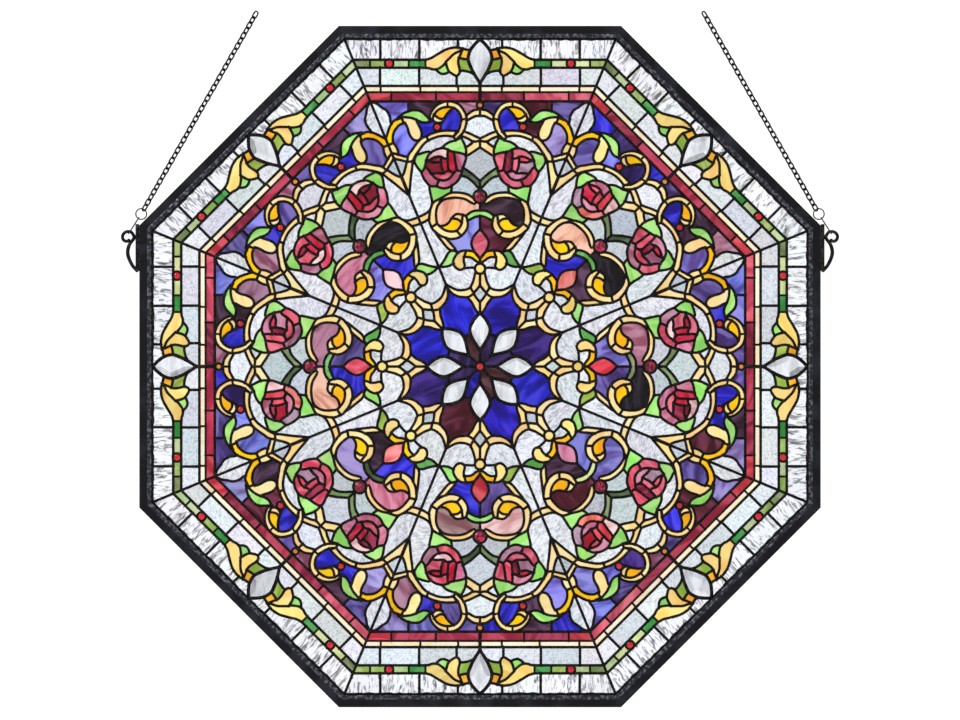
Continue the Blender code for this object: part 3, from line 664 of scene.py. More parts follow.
def startGroup(name, inputs, outputs):
    group = bpy.data.node_groups.new(name, "ShaderNodeTree")
    for socket, (kind, value) in inputs.items():
        newSocket(group, socket, "INPUT", kind, value)
    for socket, kind in outputs.items():
        newSocket(group, socket, "OUTPUT", kind)
    return (group, group.nodes, group.links, group.nodes.new("NodeGroupInput").outputs,
            group.nodes.new("NodeGroupOutput").inputs)


sheetLength = 9.0  # in metres: how far apart two panes' places on it can be


def cutFromSheet(nodes, links, place, cut):
    # each pane was cut from another part of the sheet, and turned its own way
    turned = linkedNode(nodes, links, "VectorRotate", {
        "Vector": place, "Axis": (0, 1, 0), "Angle": product(nodes, links, cut, 2 * math.pi)})
    shift = product(nodes, links, cut, sheetLength)
    return linkedNode(nodes, links, "VectorMath", {0: turned.outputs[0], 1: shift},
                      operation="ADD").outputs[0]


def makeOpalGroup():
    # streaks of milk in a sheet of coloured glass, with the rolled sheet's ripple as a height
    group, nodes, links, inlet, outlet = startGroup(
        "opalStreaks",
        {"Place": ("Vector", None), "Cut": ("Float", 0.0), "Tint": ("Color", (0.8, 0.8, 0.8, 1)),
         "Milk": ("Color", (1, 1, 1, 1)), "Deep": ("Color", (0.1, 0.1, 0.1, 1)),
         "Streaks": ("Float", 0.3), "Depth": ("Float", 0.3), "Scale": ("Float", 25.0)},
        {"Color": "Color", "Height": "Float"})
    sheet = cutFromSheet(nodes, links, inlet["Place"], inlet["Cut"])
    stretched = linkedNode(nodes, links, "Mapping", {"Vector": sheet, "Scale": (1, 1, 0.3)})
    streak = linkedNode(nodes, links, "TexNoise", {
        "Vector": stretched.outputs[0], "Scale": inlet["Scale"], "Detail": 4, "Distortion": 0.8})
    milkBand = linkedNode(nodes, links, "MapRange", {
        "Value": streak.outputs["Fac"], "From Min": 0.48, "From Max": 0.60})
    deepBand = linkedNode(nodes, links, "MapRange", {
        "Value": streak.outputs["Fac"], "From Min": 0.52, "From Max": 0.39})
    milkShare = product(nodes, links, milkBand.outputs[0], inlet["Streaks"])
    deepShare = product(nodes, links, deepBand.outputs[0], inlet["Depth"])
    lifted = linkedNode(nodes, links, "Gamma", {"Color": inlet["Tint"], "Gamma": 0.6})
    milkTint = mixed(nodes, links, 1, lifted.outputs[0], inlet["Milk"], "MULTIPLY")
    milky = mixed(nodes, links, milkShare, inlet["Tint"], milkTint)
    deep = mixed(nodes, links, deepShare, milky, inlet["Deep"], "MULTIPLY")
    links.new(deep, outlet["Color"])
    ripple = linkedNode(nodes, links, "TexNoise", {"Vector": sheet, "Scale": 130, "Detail": 2})
    links.new(ripple.outputs["Fac"], outlet["Height"])
    return group


def makeWaterGroup():
    # the wrinkles of water glass, or the pebbles of hammered glass, as a shade and a height
    group, nodes, links, inlet, outlet = startGroup(
        "rolledFace",
        {"Place": ("Vector", None), "Cut": ("Float", 0.0), "Scale": ("Float", 200.0),
         "Stretch": ("Vector", (1, 1, 1)), "Pebbles": ("Float", 0.0), "Darkest": ("Float", 0.5),
         "Shadow": ("Float", 0.4), "Light": ("Float", 0.5)},
        {"Shade": "Float", "Height": "Float"})
    sheet = cutFromSheet(nodes, links, inlet["Place"], inlet["Cut"])
    stretched = linkedNode(nodes, links, "VectorMath", {0: sheet, 1: inlet["Stretch"]},
                           operation="MULTIPLY")
    wrinkle = linkedNode(nodes, links, "TexNoise", {
        "Vector": stretched.outputs[0], "Scale": inlet["Scale"], "Detail": 3, "Distortion": 1.2})
    pebble = linkedNode(nodes, links, "TexVoronoi", {
        "Vector": sheet, "Scale": inlet["Scale"], "Randomness": 1.0}, feature="F1")
    pebbly = linkedNode(nodes, links, "Mix", {
        "Factor": inlet["Pebbles"], 2: wrinkle.outputs["Fac"], 3: pebble.outputs["Distance"]},
        data_type="FLOAT")
    shade = linkedNode(nodes, links, "MapRange", {
        "Value": pebbly.outputs[0], "From Min": inlet["Shadow"], "From Max": inlet["Light"],
        "To Min": inlet["Darkest"], "To Max": 1.0}, interpolation_type="SMOOTHSTEP")
    links.new(shade.outputs[0], outlet["Shade"])
    links.new(pebbly.outputs[0], outlet["Height"])
    return group


def makePatinaGroup():
    # blackened metal: cloudy tarnish, and bright grains that stand for wear from rubbing and for a
    # painted sheen
    group, nodes, links, inlet, outlet = startGroup(
        "blackPatina",
        {"Place": ("Vector", None), "Dark": ("Color", (0.01, 0.01, 0.01, 1)),
         "Rubbed": ("Color", (0.1, 0.1, 0.1, 1)), "Scale": ("Float", 60.0)},
        {"Color": "Color", "Roughness": "Float", "Height": "Float"})
    cloud = linkedNode(nodes, links, "TexNoise", {
        "Vector": inlet["Place"], "Scale": inlet["Scale"], "Detail": 6})
    rubbedAndSheenShare = linkedNode(nodes, links, "MapRange", {
        "Value": cloud.outputs["Fac"], "From Min": 0.48, "From Max": 0.72})
    # painted sheen and wear: the bright colour is mixed in where the grains are
    links.new(mixed(nodes, links, rubbedAndSheenShare.outputs[0], inlet["Dark"], inlet["Rubbed"]),
              outlet["Color"])
    gloss = linkedNode(nodes, links, "MapRange", {
        "Value": rubbedAndSheenShare.outputs[0], "To Min": 0.5, "To Max": 0.28})
    links.new(gloss.outputs[0], outlet["Roughness"])
    links.new(cloud.outputs["Fac"], outlet["Height"])
    return group


opalStreaks, rolledFace, blackPatina = makeOpalGroup(), makeWaterGroup(), makePatinaGroup()


def newMaterial(name):
    material = bpy.data.materials.new(name)
    material.use_nodes = True
    nodes, links = material.node_tree.nodes, material.node_tree.links
    place = nodes.new("ShaderNodeTexCoord").outputs["Object"]
    return material, nodes, links, nodes["Principled BSDF"], place


def useGroup(nodes, links, group, **inputs):
    return linkedNode(nodes, links, "Group", inputs, node_tree=group).outputs


def addBump(nodes, links, height, shader, strength, distance):
    bump = linkedNode(nodes, links, "Bump", {
        "Height": height, "Strength": strength, "Distance": distance})
    links.new(bump.outputs["Normal"], shader.inputs["Normal"])


def finishGlass(nodes, links, shader, colour, height, roughness, clearness, bend, bump):
    links.new(colour, shader.inputs["Base Color"])
    shader.inputs["Roughness"].default_value = roughness
    shader.inputs["Transmission Weight"].default_value = clearness
    shader.inputs["IOR"].default_value = bend
    addBump(nodes, links, height, shader, *bump)


opalGlasses = {  # milk, deep, streaks, depth, scale, roughness, how clear, slot
    "cream": ((1.0, 0.98, 0.90), (1.0, 0.78, 0.52), 0.80, 0.50, 60, 0.30, 0.90, "cream_glass"),
    "gold": ((1.0, 0.95, 0.60), (0.97, 0.66, 0.30), 0.60, 0.55, 60, 0.28, 0.92, "cream_glass"),
    "green": ((0.95, 1.0, 0.85), (0.50, 0.78, 0.40), 0.70, 0.50, 60, 0.28, 0.90, "field_glass"),
    "red": ((1.0, 0.80, 0.84), (0.50, 0.30, 0.50), 0.65, 0.80, 60, 0.28, 0.92, "red_glass"),
    "ground": ((0.95, 0.88, 1.0), (0.40, 0.16, 0.26), 0.75, 0.85, 60, 0.28, 0.92, "blue_glass"),
    "rose": ((1.0, 0.86, 0.90), (0.62, 0.28, 0.36), 0.80, 0.75, 70, 0.28, 0.90, "field_glass"),
    "star": ((0.80, 0.72, 1.0), (0.50, 0.24, 0.32), 0.60, 0.95, 56, 0.24, 0.92, "blue_glass"),
}
rolledGlasses = {  # scale, stretch, pebbles, darkest, its shadow and light, roughness, bump
    "rippled": (200, (1.0, 1.0, 0.24), 0.0, 0.10, 0.35, 0.49, 0.10, 0.0014),
    "water": (240, (1.0, 1.0, 0.42), 0.0, 0.46, 0.36, 0.54, 0.10, 0.0012),
    "hammered": (290, (1.0, 1.0, 0.70), 0.20, 0.50, 0.34, 0.54, 0.16, 0.0009),
}
# how strongly each glass bends light; the opal glass is nearly matt, so it mirrors little
bends = {"opal": 1.32, "rolled": 1.48, "cut": 1.5}
bumpStrengths = {"opal": 0.25, "rolled": 0.4, "cut": 0.04, "metal": 0.5}
opalBumpDepth = 0.0006
cutSettings = {"deep": 0.5, "depth": 0.6, "scale": 90, "roughness": 0.03, "bumpDepth": 0.0004}
metalShare = 0.85
metals = {  # dark colour, bright colour of wear and painted sheen, scale of the grain, depth of the bump
    "blackSolder": ((22, 19, 20), (56, 48, 46), 220, 0.0006),
    "blackenedFrame": ((30, 30, 34), (54, 56, 64), 24, 0.0002),
    # the frame strip: dark metal whose bright grains are painted glints as well as wear
    "stripWearAndGlints": ((46, 48, 54), (140, 142, 150), 190, 0.0005),
    "darkBronze": ((28, 26, 27), (76, 69, 67), 150, 0.0002),
    "wornSteel": ((64, 58, 56), (124, 112, 106), 180, 0.0001),
}


# a pane's glass colour; on cut jewels and bevels it also carries their painted shading, facet by
# facet
def paneTint(nodes):
    tint = nodes.new("ShaderNodeAttribute")
    tint.attribute_name = "glassTintAndShade"
    return tint.outputs["Color"], tint.outputs["Alpha"]


def makeOpalGlass(kind):
    milk, deep, streaks, depth, scale, roughness, clearness, _ = opalGlasses[kind]
    material, nodes, links, shader, place = newMaterial(kind + "Glass")
    colour, cut = paneTint(nodes)
    opal = useGroup(nodes, links, opalStreaks, Place=place, Cut=cut, Tint=colour,
                    Milk=(*milk, 1), Deep=(*deep, 1), Streaks=streaks, Depth=depth, Scale=scale)
    finishGlass(nodes, links, shader, opal["Color"], opal["Height"], roughness, clearness,
                bends["opal"], (bumpStrengths["opal"], opalBumpDepth))
    return material


def makeRolledGlass(kind):
    scale, stretch, pebbles, darkest, shadow, light, roughness, bump = rolledGlasses[kind]
    material, nodes, links, shader, place = newMaterial(kind + "Glass")
    colour, cut = paneTint(nodes)
    face = useGroup(nodes, links, rolledFace, Place=place, Cut=cut, Scale=scale,
                    Stretch=stretch, Pebbles=pebbles, Darkest=darkest, Shadow=shadow, Light=light)
    shade = mixed(nodes, links, 1, colour, face["Shade"], "MULTIPLY")
    finishGlass(nodes, links, shader, shade, face["Height"], roughness, 1.0, bends["rolled"],
                (bumpStrengths["rolled"], bump))
    return material


def makeCutGlass(name, milk, streaks):
    # polished glass for jewels and bevels, with a few seeds and cords inside
    material, nodes, links, shader, place = newMaterial(name)
    s = cutSettings
    opal = useGroup(nodes, links, opalStreaks, Place=place, Tint=paneTint(nodes)[0],
                    Milk=(*linear(milk), 1), Deep=(s["deep"], s["deep"], s["deep"], 1),
                    Streaks=streaks, Depth=s["depth"], Scale=s["scale"])
    finishGlass(nodes, links, shader, opal["Color"], opal["Height"], s["roughness"], 1.0,
                bends["cut"], (bumpStrengths["cut"], s["bumpDepth"]))
    return material


def makeMetal(name):
    dark, rubbedAndSheen, scale, bumpDepth = metals[name]
    material, nodes, links, shader, place = newMaterial(name)
    patina = useGroup(nodes, links, blackPatina, Place=place, Dark=(*linear(dark), 1),
                      Rubbed=(*linear(rubbedAndSheen), 1), Scale=scale)
    links.new(patina["Color"], shader.inputs["Base Color"])
    links.new(patina["Roughness"], shader.inputs["Roughness"])
    shader.inputs["Metallic"].default_value = metalShare
    addBump(nodes, links, patina["Height"], shader, bumpStrengths["metal"], bumpDepth)
    return material


solderMetal, frameMetal, stripMetal, hardwareMetal, ringMetal = map(makeMetal, metals)
rubyGlass = makeCutGlass("rubyJewelGlass", (255, 220, 226), 0.25)
amberGlass = makeCutGlass("amberJewelGlass", (255, 240, 200), 0.5)
bevelGlass = makeCutGlass("bevelledClearGlass", (244, 246, 250), 0.5)
print("materials made")


tintJitter = {"rippled": 0.03, "water": 0.05, "hammered": 0.08, "cream": 0.07, "gold": 0.12,
              "green": 0.10, "red": 0.12, "ground": 0.14, "rose": 0.12, "star": 0.10}
jitterSettings = {"lift": 1.6, "hue": 0.6, "radialTurn": 0.05}


def paneColour(kind, name, sector, side):
    colours = paneSeeds[kind][name][1]
    if isinstance(colours, list):
        turn = sector if len(colours) == sectors else 2 * sector + (side > 0)
        colours = colours[turn % len(colours)]
    if isinstance(colours, tuple):
        colours = colours[0 if side < 0 else 1]
    shift = random.Random("%s %s %d %d" % (kind, name, sector, side))
    jitter = tintJitter[kind]
    lift = 1 + shift.uniform(-jitter, jitter) * jitterSettings["lift"]
    colour = [min(1, c * lift * (1 + shift.uniform(-jitter, jitter) * jitterSettings["hue"]))
              for c in linear(glassColours[colours])]
    cut = shift.random()
    if name.startswith("outer"):
        # its wrinkles run in from the frame
        cut = (1 - sector / sectors + (cut - 0.5) * jitterSettings["radialTurn"]) % 1
    return colour + [cut]


def makePanes(kind, material, nodes):
    s = paneSettings
    bm = bmesh.new()
    number = bm.faces.layers.int.new("pane")
    made = {}
    for i, tri in enumerate(paneTris):
        if paneNames.get(paneOf[i], ("",))[0] != kind:
            continue
        corners = [made.get(j) or made.setdefault(j, bm.verts.new(
            (spots[j].x * mm, 0, spots[j].y * mm))) for j in tri]
        bm.faces.new(corners)[number] = paneOf[i]
    bmesh.ops.recalc_face_normals(bm, faces=bm.faces[:])
    if bm.faces[:] and sum(f.normal.y for f in bm.faces) > 0:
        bmesh.ops.reverse_faces(bm, faces=bm.faces[:])
    # panes that run on across an axis, where no seam covers it, keep one colour on both sides
    across = {}
    for axis, leads, slope in (("middle", midlineLeads, 0), ("mitre", mitreLeads, mitreSlope)):
        covered = [(b, a) for leadsHere in leads.values() for _, a, b in leadsHere]
        across[axis] = set()
        for edge in bm.edges:
            ends = [v.co / mm for v in edge.verts]
            off = max(abs(end.z * slope - end.x) for end in ends)
            level = (ends[0].z + ends[1].z) / 2
            if off < s["onAxis"] and not any(
                    a - s["slack"] <= level <= b + s["slack"] for a, b in covered):
                across[axis] |= {f[number] for f in edge.link_faces}
    aroundTheWindow(bm)
    bmesh.ops.remove_doubles(bm, verts=bm.verts[:], dist=s["weld"])
    tint = bm.loops.layers.float_color.new("glassTintAndShade")
    for face in bm.faces:
        centre = face.calc_center_median()
        angle = math.atan2(centre.x, centre.z)
        sector = round(angle / sectorAngle)
        side = 1 if angle > sector * sectorAngle else -1
        if face[number] in across["middle"]:
            side = 0
        elif face[number] in across["mitre"]:
            sector, side = (sector if side > 0 else sector - 1), 0
        colour = paneColour(kind, paneNames[face[number]][1], sector % sectors, side)
        for loop in face.loops:
            loop[tint] = colour
    piece = finishPiece(bm, kind + "Panes", material, nodes, smooth=False)
    thicken = piece.modifiers.new("thickness", "SOLIDIFY")
    thicken.thickness = s["thickness"]
    thicken.offset = 0


paneNodes = {"rippled": ["border_glass"], "cream": ["cream_band_glass"],
             "red": ["red_band_glass"], "ground": ["field_glass"], "star": ["star_glass"]}
for kind in rolledGlasses:
    makePanes(kind, makeRolledGlass(kind), paneNodes.get(kind, []))
for kind in opalGlasses:
    makePanes(kind, makeOpalGlass(kind), paneNodes.get(kind, []))
print("panes made")


def ringMatrix(point, along, width, rise):
    across = Vector((along.y, -along.x))
    return Matrix(((across.x * width, 0, along.x, point.x), (0, rise, 0, 0),
                   (across.y * width, 0, along.y, point.y), (0, 0, 0, 1)))


def headings(run):
    # the way a run goes at each of its points
    closed = isClosed(run)
    ways = []
    for i in range(len(run)):
        before, after = run[max(i - 1, 0)], run[min(i + 1, len(run) - 1)]
        if closed and i in (0, len(run) - 1):
            before, after = run[-2], run[1]
        ways.append((after - before).normalized())
    return ways


def drawTube(bm, rings, sides, closed, cap):
    # rings joined along a run; the cap rounds open ends: its reach, and its two radii
    if not closed:
        reach, across, through = cap
        (p, a, w, r), (q, b, x, s) = rings[0], rings[-1]
        rings = ([(p - a * w * reach, a, w * across, r * through)] + rings
                 + [(q + b * x * reach, b, x * across, s * through)])
    places = [ringMatrix(*ring) for ring in rings]
    start = bmesh.ops.create_circle(bm, segments=sides, radius=1, matrix=places[0])
    firstEdges = edges = list({e for v in start["verts"] for e in v.link_edges})
    for here, there in zip(places, places[1:]):
        grown = bmesh.ops.extrude_edge_only(bm, edges=edges)["geom"]
        verts = [g for g in grown if isinstance(g, bmesh.types.BMVert)]
        edges = [g for g in grown if isinstance(g, bmesh.types.BMEdge)
                 and all(v in verts for v in g.verts)]
        bmesh.ops.transform(bm, matrix=there @ here.inverted(), verts=verts)
    if not closed:
        bmesh.ops.contextual_create(bm, geom=firstEdges)
        bmesh.ops.contextual_create(bm, geom=edges)


def pourSeam(bm, run, width, seed, uneven=leadSizes["unevenness"]):
    # one bead of solder, a little wider here and narrower there
    rings = []
    for point, along in zip(run, headings(run)):
        swell = 1 + uneven * noise.noise(Vector((*(point / leadSizes["waver"]), seed)))
        rings.append((point, along, leadSizes[width] / 2 * swell,
                      leadSizes["rise"] * (0.5 + 0.5 * swell)))
    drawTube(bm, rings, leadSizes["sides"], isClosed(run), leadSizes["cap"])


def addBall(bm, place, radius, rise, facets):
    # a flattened ball with its poles on the two faces of the window
    ball = bmesh.ops.create_uvsphere(bm, u_segments=facets[0], v_segments=facets[1], radius=1)
    bmesh.ops.transform(bm, verts=ball["verts"], matrix=Matrix.Translation(place)
                        @ Matrix.Diagonal((radius, rise, radius, 1))
                        @ Matrix.Rotation(math.pi / 2, 4, "X"))


def addJoint(bm, point, width):
    swell = leadSizes[width] / 2 * leadSizes["jointSwell"]
    addBall(bm, (point.x, 0, point.y), swell, leadSizes["rise"] * leadSizes["jointRise"],
            leadSizes["jointFacets"])


def makeSolder(group):
    half = bmesh.new()
    for seed, (name, (width, run)) in enumerate(leadRuns.items()):
        if not name.startswith(group + "/"):
            continue
        pourSeam(half, run, width, seed,
                 leadSizes["raggedness" if name == sightLine else "unevenness"])
        if not isClosed(run) and name != sightLine:
            for end in (run[0], run[-1]):
                addJoint(half, end, width)
    bmesh.ops.remove_doubles(half, verts=half.verts[:], dist=leadSizes["weld"])
    bmesh.ops.scale(half, vec=(mm, mm, mm), verts=half.verts[:])
    aroundTheWindow(half)
    onAxis = bmesh.new()
    for axis in ("midline", "mitre"):
        for place, width, run in axisRuns[axis]:
            if place == group:
                pourSeam(onAxis, smoothRun(run, leadSizes["step"]), width,
                         leadSizes["axisSeed"])
    bmesh.ops.scale(onAxis, vec=(mm, mm, mm), verts=onAxis.verts[:])
    aroundTheWindow(onAxis, mirrored=False)
    extra = bpy.data.meshes.new("axisSeams")
    onAxis.to_mesh(extra)
    onAxis.free()
    half.from_mesh(extra)
    bpy.data.meshes.remove(extra)
    bmesh.ops.recalc_face_normals(half, faces=half.faces[:])
    finishPiece(half, group + "Solder", solderMetal,
                ["leading_front", "leading_back"] if group == "border" else [])


for group in leadGroups:
    makeSolder(group)
print("solder made")


jewelSettings = {
    "rise": 3.8 * mm,
    "smallRise": 3.2 * mm,
    "facets": (10, 6),  # round and up a cut jewel
    "dome": (20, 12),
    "paintedShades": (0.04, 0.25, 0.8, 1.5, 2.2),  # painted shade and painted highlight: a colour factor drawn for each facet
    "garnet": (150, 8, 50),
    "ruby": (212, 16, 32),
    "amber": (222, 132, 26),
}


def makeJewels(name, place, rise, colour, material, nodes=(), cut=False, aroundAll=True):
    s = jewelSettings
    (cu, cv), radius = jewelPlaces[place]
    bm = bmesh.new()
    addBall(bm, (cu * mm, 0, cv * mm), radius * mm, s[rise], s["facets" if cut else "dome"])
    if aroundAll:
        aroundTheWindow(bm, mirrored=cu > 0)
    bmesh.ops.recalc_face_normals(bm, faces=bm.faces[:])
    tint = bm.loops.layers.float_color.new("glassTintAndShade")
    glint = random.Random(name)
    # each facet of a cut jewel gets its colour times a painted shade, dark on some facets and
    # bright on others
    for face in bm.faces:
        shade = glint.choice(s["paintedShades"]) if cut else 1
        for loop in face.loops:
            loop[tint] = [min(1, c * shade) for c in linear(s[colour])] + [1]
    finishPiece(bm, name, material, nodes, smooth=not cut)


def numbered(stem):
    return [stem + "_%d" % (i + 1) for i in range(sectors)]


makeJewels("rubyJewels", "ruby", "rise", "garnet", rubyGlass,
           numbered("ruby_jewel"), cut=True)
makeJewels("borderRubies", "borderRuby", "smallRise", "ruby", rubyGlass)
makeJewels("fieldRubies", "fieldRuby", "smallRise", "ruby", rubyGlass)
makeJewels("amberJewels", "amber", "smallRise", "amber", amberGlass)
makeJewels("centreJewel", "centre", "rise", "ruby", rubyGlass, ["centre_jewel"],
           aroundAll=False)

bevelSettings = {
    "diamond": [(0, 480), (17, 454.5), (0, 416.5)],
    "lozenge": [(0, 78), (14.3, 54), (0, 24)],
    "borderDiamonds": (7.0 * mm, (0.42, 0.7, 1.0, 1.0), (0.7, 0.9, 1.0)),  # bevel, then the painted shading of the facets and of the tables, as colour factors
    "starLozenges": (5.0 * mm, (0.78, 0.88, 1.0, 1.0), (0.94, 0.97)),
    "rise": 1.6 * mm,
    "facing": 0.9,  # a face counts as front or back from here on
    "flat": 0.99,
}


def cutBevels(name, corners, nodes):
    bm = bmesh.new()
    (_, top), (side, level), (_, foot) = corners
    bevel, facets, tables = bevelSettings[name]
    verts = [bm.verts.new((u * mm, -paneSettings["thickness"] / 2, v * mm))
             for u, v in ((0, top), (side, level), (0, foot), (-side, level))]
    front = bm.faces.new(verts)
    grown = bmesh.ops.extrude_face_region(bm, geom=[front])["geom"]
    bmesh.ops.translate(bm, vec=(0, paneSettings["thickness"], 0),
                        verts=[g for g in grown if isinstance(g, bmesh.types.BMVert)])
    bmesh.ops.recalc_face_normals(bm, faces=bm.faces[:])
    faces = [f for f in bm.faces if abs(f.normal.y) > bevelSettings["facing"]]
    bmesh.ops.inset_individual(bm, faces=faces, thickness=bevel,
                               depth=bevelSettings["rise"], use_even_offset=True)
    aroundTheWindow(bm, mirrored=False)
    tint = bm.loops.layers.float_color.new("glassTintAndShade")
    paintedShineDraw = random.Random(name)
    paintedShines = {}
    # painted shading: every facet and table place gets a colour factor, darker on some and full on
    # others
    for face in bm.faces:
        middle = face.calc_center_median() / mm
        flat = abs(face.normal.y) > bevelSettings["flat"]
        paintedShine = paintedShines.setdefault((round(middle.x), round(middle.z)),
                                  paintedShineDraw.choice(tables if flat else facets))
        for loop in face.loops:
            loop[tint] = [c * paintedShine for c in linear(glassColours["bevel"])] + [1]
    finishPiece(bm, name, bevelGlass, nodes, smooth=False)


cutBevels("borderDiamonds", bevelSettings["diamond"], numbered("border_diamond"))
cutBevels("starLozenges", bevelSettings["lozenge"], numbered("star_lozenge"))
print("jewels made")

frameSettings = {"face": 18.5, "wall": 1.9, "lip": 2.0, "round": 1.1 * mm,
                 "strip": 6.0, "stripIn": 0.4, "stripRise": 0.35, "stripSlope": 1,
                 "near": 1e-6,  # metres by which an edge may miss a level
                 "short": 0.1}  # no edge along a bar is shorter
frameNodes = ["frame_" + n for n in ("top", "top_right", "right", "bottom_right", "bottom",
                                     "bottom_left", "left", "top_left")]


def sweepFrame(name, profiles, rounded, material, nodes):
    # eight bars of one section, mitred where they meet
    f = frameSettings
    bm = bmesh.new()
    for profile in profiles:
        ends = []
        for side in (-1, 1):
            ends += [bm.verts.new((side * v * mitreSlope * mm, y * mm, v * mm))
                     for v, y in profile]
            bmesh.ops.contextual_create(bm, geom=ends[-len(profile):])
        bmesh.ops.bridge_loops(bm, edges=list({e for v in ends for e in v.link_edges}))
    bmesh.ops.recalc_face_normals(bm, faces=bm.faces[:])
    if rounded:
        long = [e for e in bm.edges if abs(e.verts[0].co.z - e.verts[1].co.z) < f["near"]
                and e.calc_length() > f["short"]
                and abs(abs(e.verts[0].co.y) - rounded * mm) < f["near"]]
        bmesh.ops.bevel(bm, geom=long, offset=f["round"], offset_type="OFFSET",
                        segments=3, affect="EDGES", profile=0.5, material=-1)
    aroundTheWindow(bm, mirrored=False)
    finishPiece(bm, name, material, nodes, smooth=False)


def makeFrame():
    f = frameSettings
    half = panelHalf / mm
    depth = -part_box("frame_top")[0].y / mm
    inner = half - f["face"]
    wall, lip = f["wall"], depth - f["lip"]
    bar = [(inner, -depth), (half, -depth), (half, depth), (inner, depth), (inner, lip),
           (half - wall, lip), (half - wall, -lip), (inner, -lip)]
    near, far = inner + f["stripIn"], inner + f["stripIn"] + f["strip"]
    high = depth + f["stripRise"]
    slope = f["stripSlope"]
    strips = [[(near, y * (depth - slope)), (near, y * depth), (near + slope, y * high),
               (far - slope, y * high), (far, y * depth), (far, y * (depth - slope))]
              for y in (-1, 1)]
    sweepFrame("frameBars", [bar], depth, frameMetal, frameNodes)
    sweepFrame("frameStrips", strips, 0, stripMetal, [])


makeFrame()
print("frame made")

hanging = {
    "wire": 4.9, "wireFacet": 2.0, "bellySwell": 0.16, "bellyShare": 0.55,
    "belly": [(0.02, 0.0), (0.6, 0.15), (1.0, 0.37), (0.83, 0.56), (0.34, 0.71)],
    "bellyReach": 14.0,
    "barWidth": 5.2, "barDepth": 8.2, "barGap": 0.02, "barRound": 0.7,
    "barLow": 140.0, "barHigh": 209.0,
    "curlSteps": 12, "curlOut": 17.2, "curlBelowTop": 20.0, "curlFrom": 128, "curlTo": -128,
    "curlStart": 9.8, "curlEnd": 3.9, "curlBend": 0.85,
    "catchAt": 112,  # where on the curl the wire loop hangs, in degrees
    "fit": 0.3, "ringRadius": 8.0, "ringWire": 2.0, "loopWire": 1.4,
    "lean": math.radians(29.8), "pitch": 8.8, "links": 38, "chainStart": 11.0,
    "linkWire": 2.4, "linkWidth": 10.0, "linkLength": 13.6, "linkSides": 8, "linkSteps": 16,
    "linkTwist": 45, "ringSteps": 32, "ringSides": 10, "wireSides": 12, "loopSides": 8,
    "loopFacet": 1.0, "weld": 0.0005,
    "cap": (0.7, 0.5, 0.5),  # a wire's rounded end: its reach, and its two radii
}


sideNames = {1: "right", -1: "left"}


def sweepWire(bm, run, radii, sides):
    # a round wire drawn along points in one plane
    rings = [(point, along, radius, radius)
             for point, along, radius in zip(run, headings(run), radii)]
    drawTube(bm, rings, sides, isClosed(run), hanging["cap"])
    if isClosed(run):
        bmesh.ops.remove_doubles(bm, verts=bm.verts[:], dist=hanging["weld"])


def curlPoint(share):
    # a point of the hook's curl, from where the belly ends to the tip
    h = hanging
    radius = h["curlEnd"] + (h["curlStart"] - h["curlEnd"]) * (1 - share) ** h["curlBend"]
    angle = math.radians(h["curlFrom"] + (h["curlTo"] - h["curlFrom"]) * share)
    return Vector((panelHalf / mm + h["curlOut"] + radius * math.cos(angle),
                   h["barHigh"] - h["curlBelowTop"] + radius * math.sin(angle)))


def makeHook(side):
    h = hanging
    half = panelHalf / mm
    axis = half + h["fit"] + h["wire"] / 2
    rise = h["barHigh"] - h["barLow"]
    points = [(axis + u * h["bellyReach"], h["barLow"] + v * rise) for u, v in h["belly"]]
    points += [curlPoint(i / h["curlSteps"]) for i in range(h["curlSteps"] + 1)]
    run = [Vector((side * p.x, p.y)) for p in smoothRun(points, h["wireFacet"])]
    wire = h["wire"] / 2
    bm = bmesh.new()
    radii = []
    for i in range(len(run)):
        share = i / len(run)
        radii.append(wire * (1 + h["bellySwell"]
                             * math.sin(math.pi * min(1, share / h["bellyShare"]))))
    sweepWire(bm, run, radii, h["wireSides"])
    bar = bmesh.ops.create_cube(bm, size=1)["verts"]
    bmesh.ops.transform(bm, verts=bar, matrix=Matrix.Translation(
        (side * (half + h["barGap"] + h["barWidth"] / 2), 0, (h["barHigh"] + h["barLow"]) / 2))
        @ Matrix.Diagonal((h["barWidth"], h["barDepth"], rise, 1)))
    bmesh.ops.bevel(bm, geom=list({e for v in bar for e in v.link_edges}),
                    offset=h["barRound"], segments=2, affect="EDGES", profile=0.5, material=-1)
    bmesh.ops.recalc_face_normals(bm, faces=bm.faces[:])
    bmesh.ops.scale(bm, vec=(mm, mm, mm), verts=bm.verts[:])
    name = sideNames[side]
    finishPiece(bm, "scrollHook_" + name, hardwareMetal, ["hook_" + name])


def makeRing(side):
    h = hanging
    name = sideNames[side]
    low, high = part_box("ring_" + name)
    centre = (low + high) / 2
    bm = bmesh.new()
    radius = (high.z - low.z) / 2 - h["ringWire"] * mm / 2
    section = bmesh.ops.create_circle(bm, segments=h["ringSides"], radius=h["ringWire"] * mm / 2,
                                      matrix=Matrix.Translation((radius, 0, 0))
                                      @ Matrix.Rotation(math.pi / 2, 4, "X"))["verts"]
    edges = list({e for v in section for e in v.link_edges})
    bmesh.ops.spin(bm, geom=section + edges, cent=(0, 0, 0), axis=(0, 0, 1), angle=2 * math.pi,
                   steps=h["ringSteps"], use_merge=True)
    bmesh.ops.transform(bm, verts=bm.verts[:], matrix=Matrix.Translation(centre)
                        @ Matrix.Rotation(math.pi / 2, 4, "X"))
    bmesh.ops.recalc_face_normals(bm, faces=bm.faces[:])
    finishPiece(bm, "hangingRing_" + name, ringMetal, ["ring_" + name],
                centred=False)
    return centre


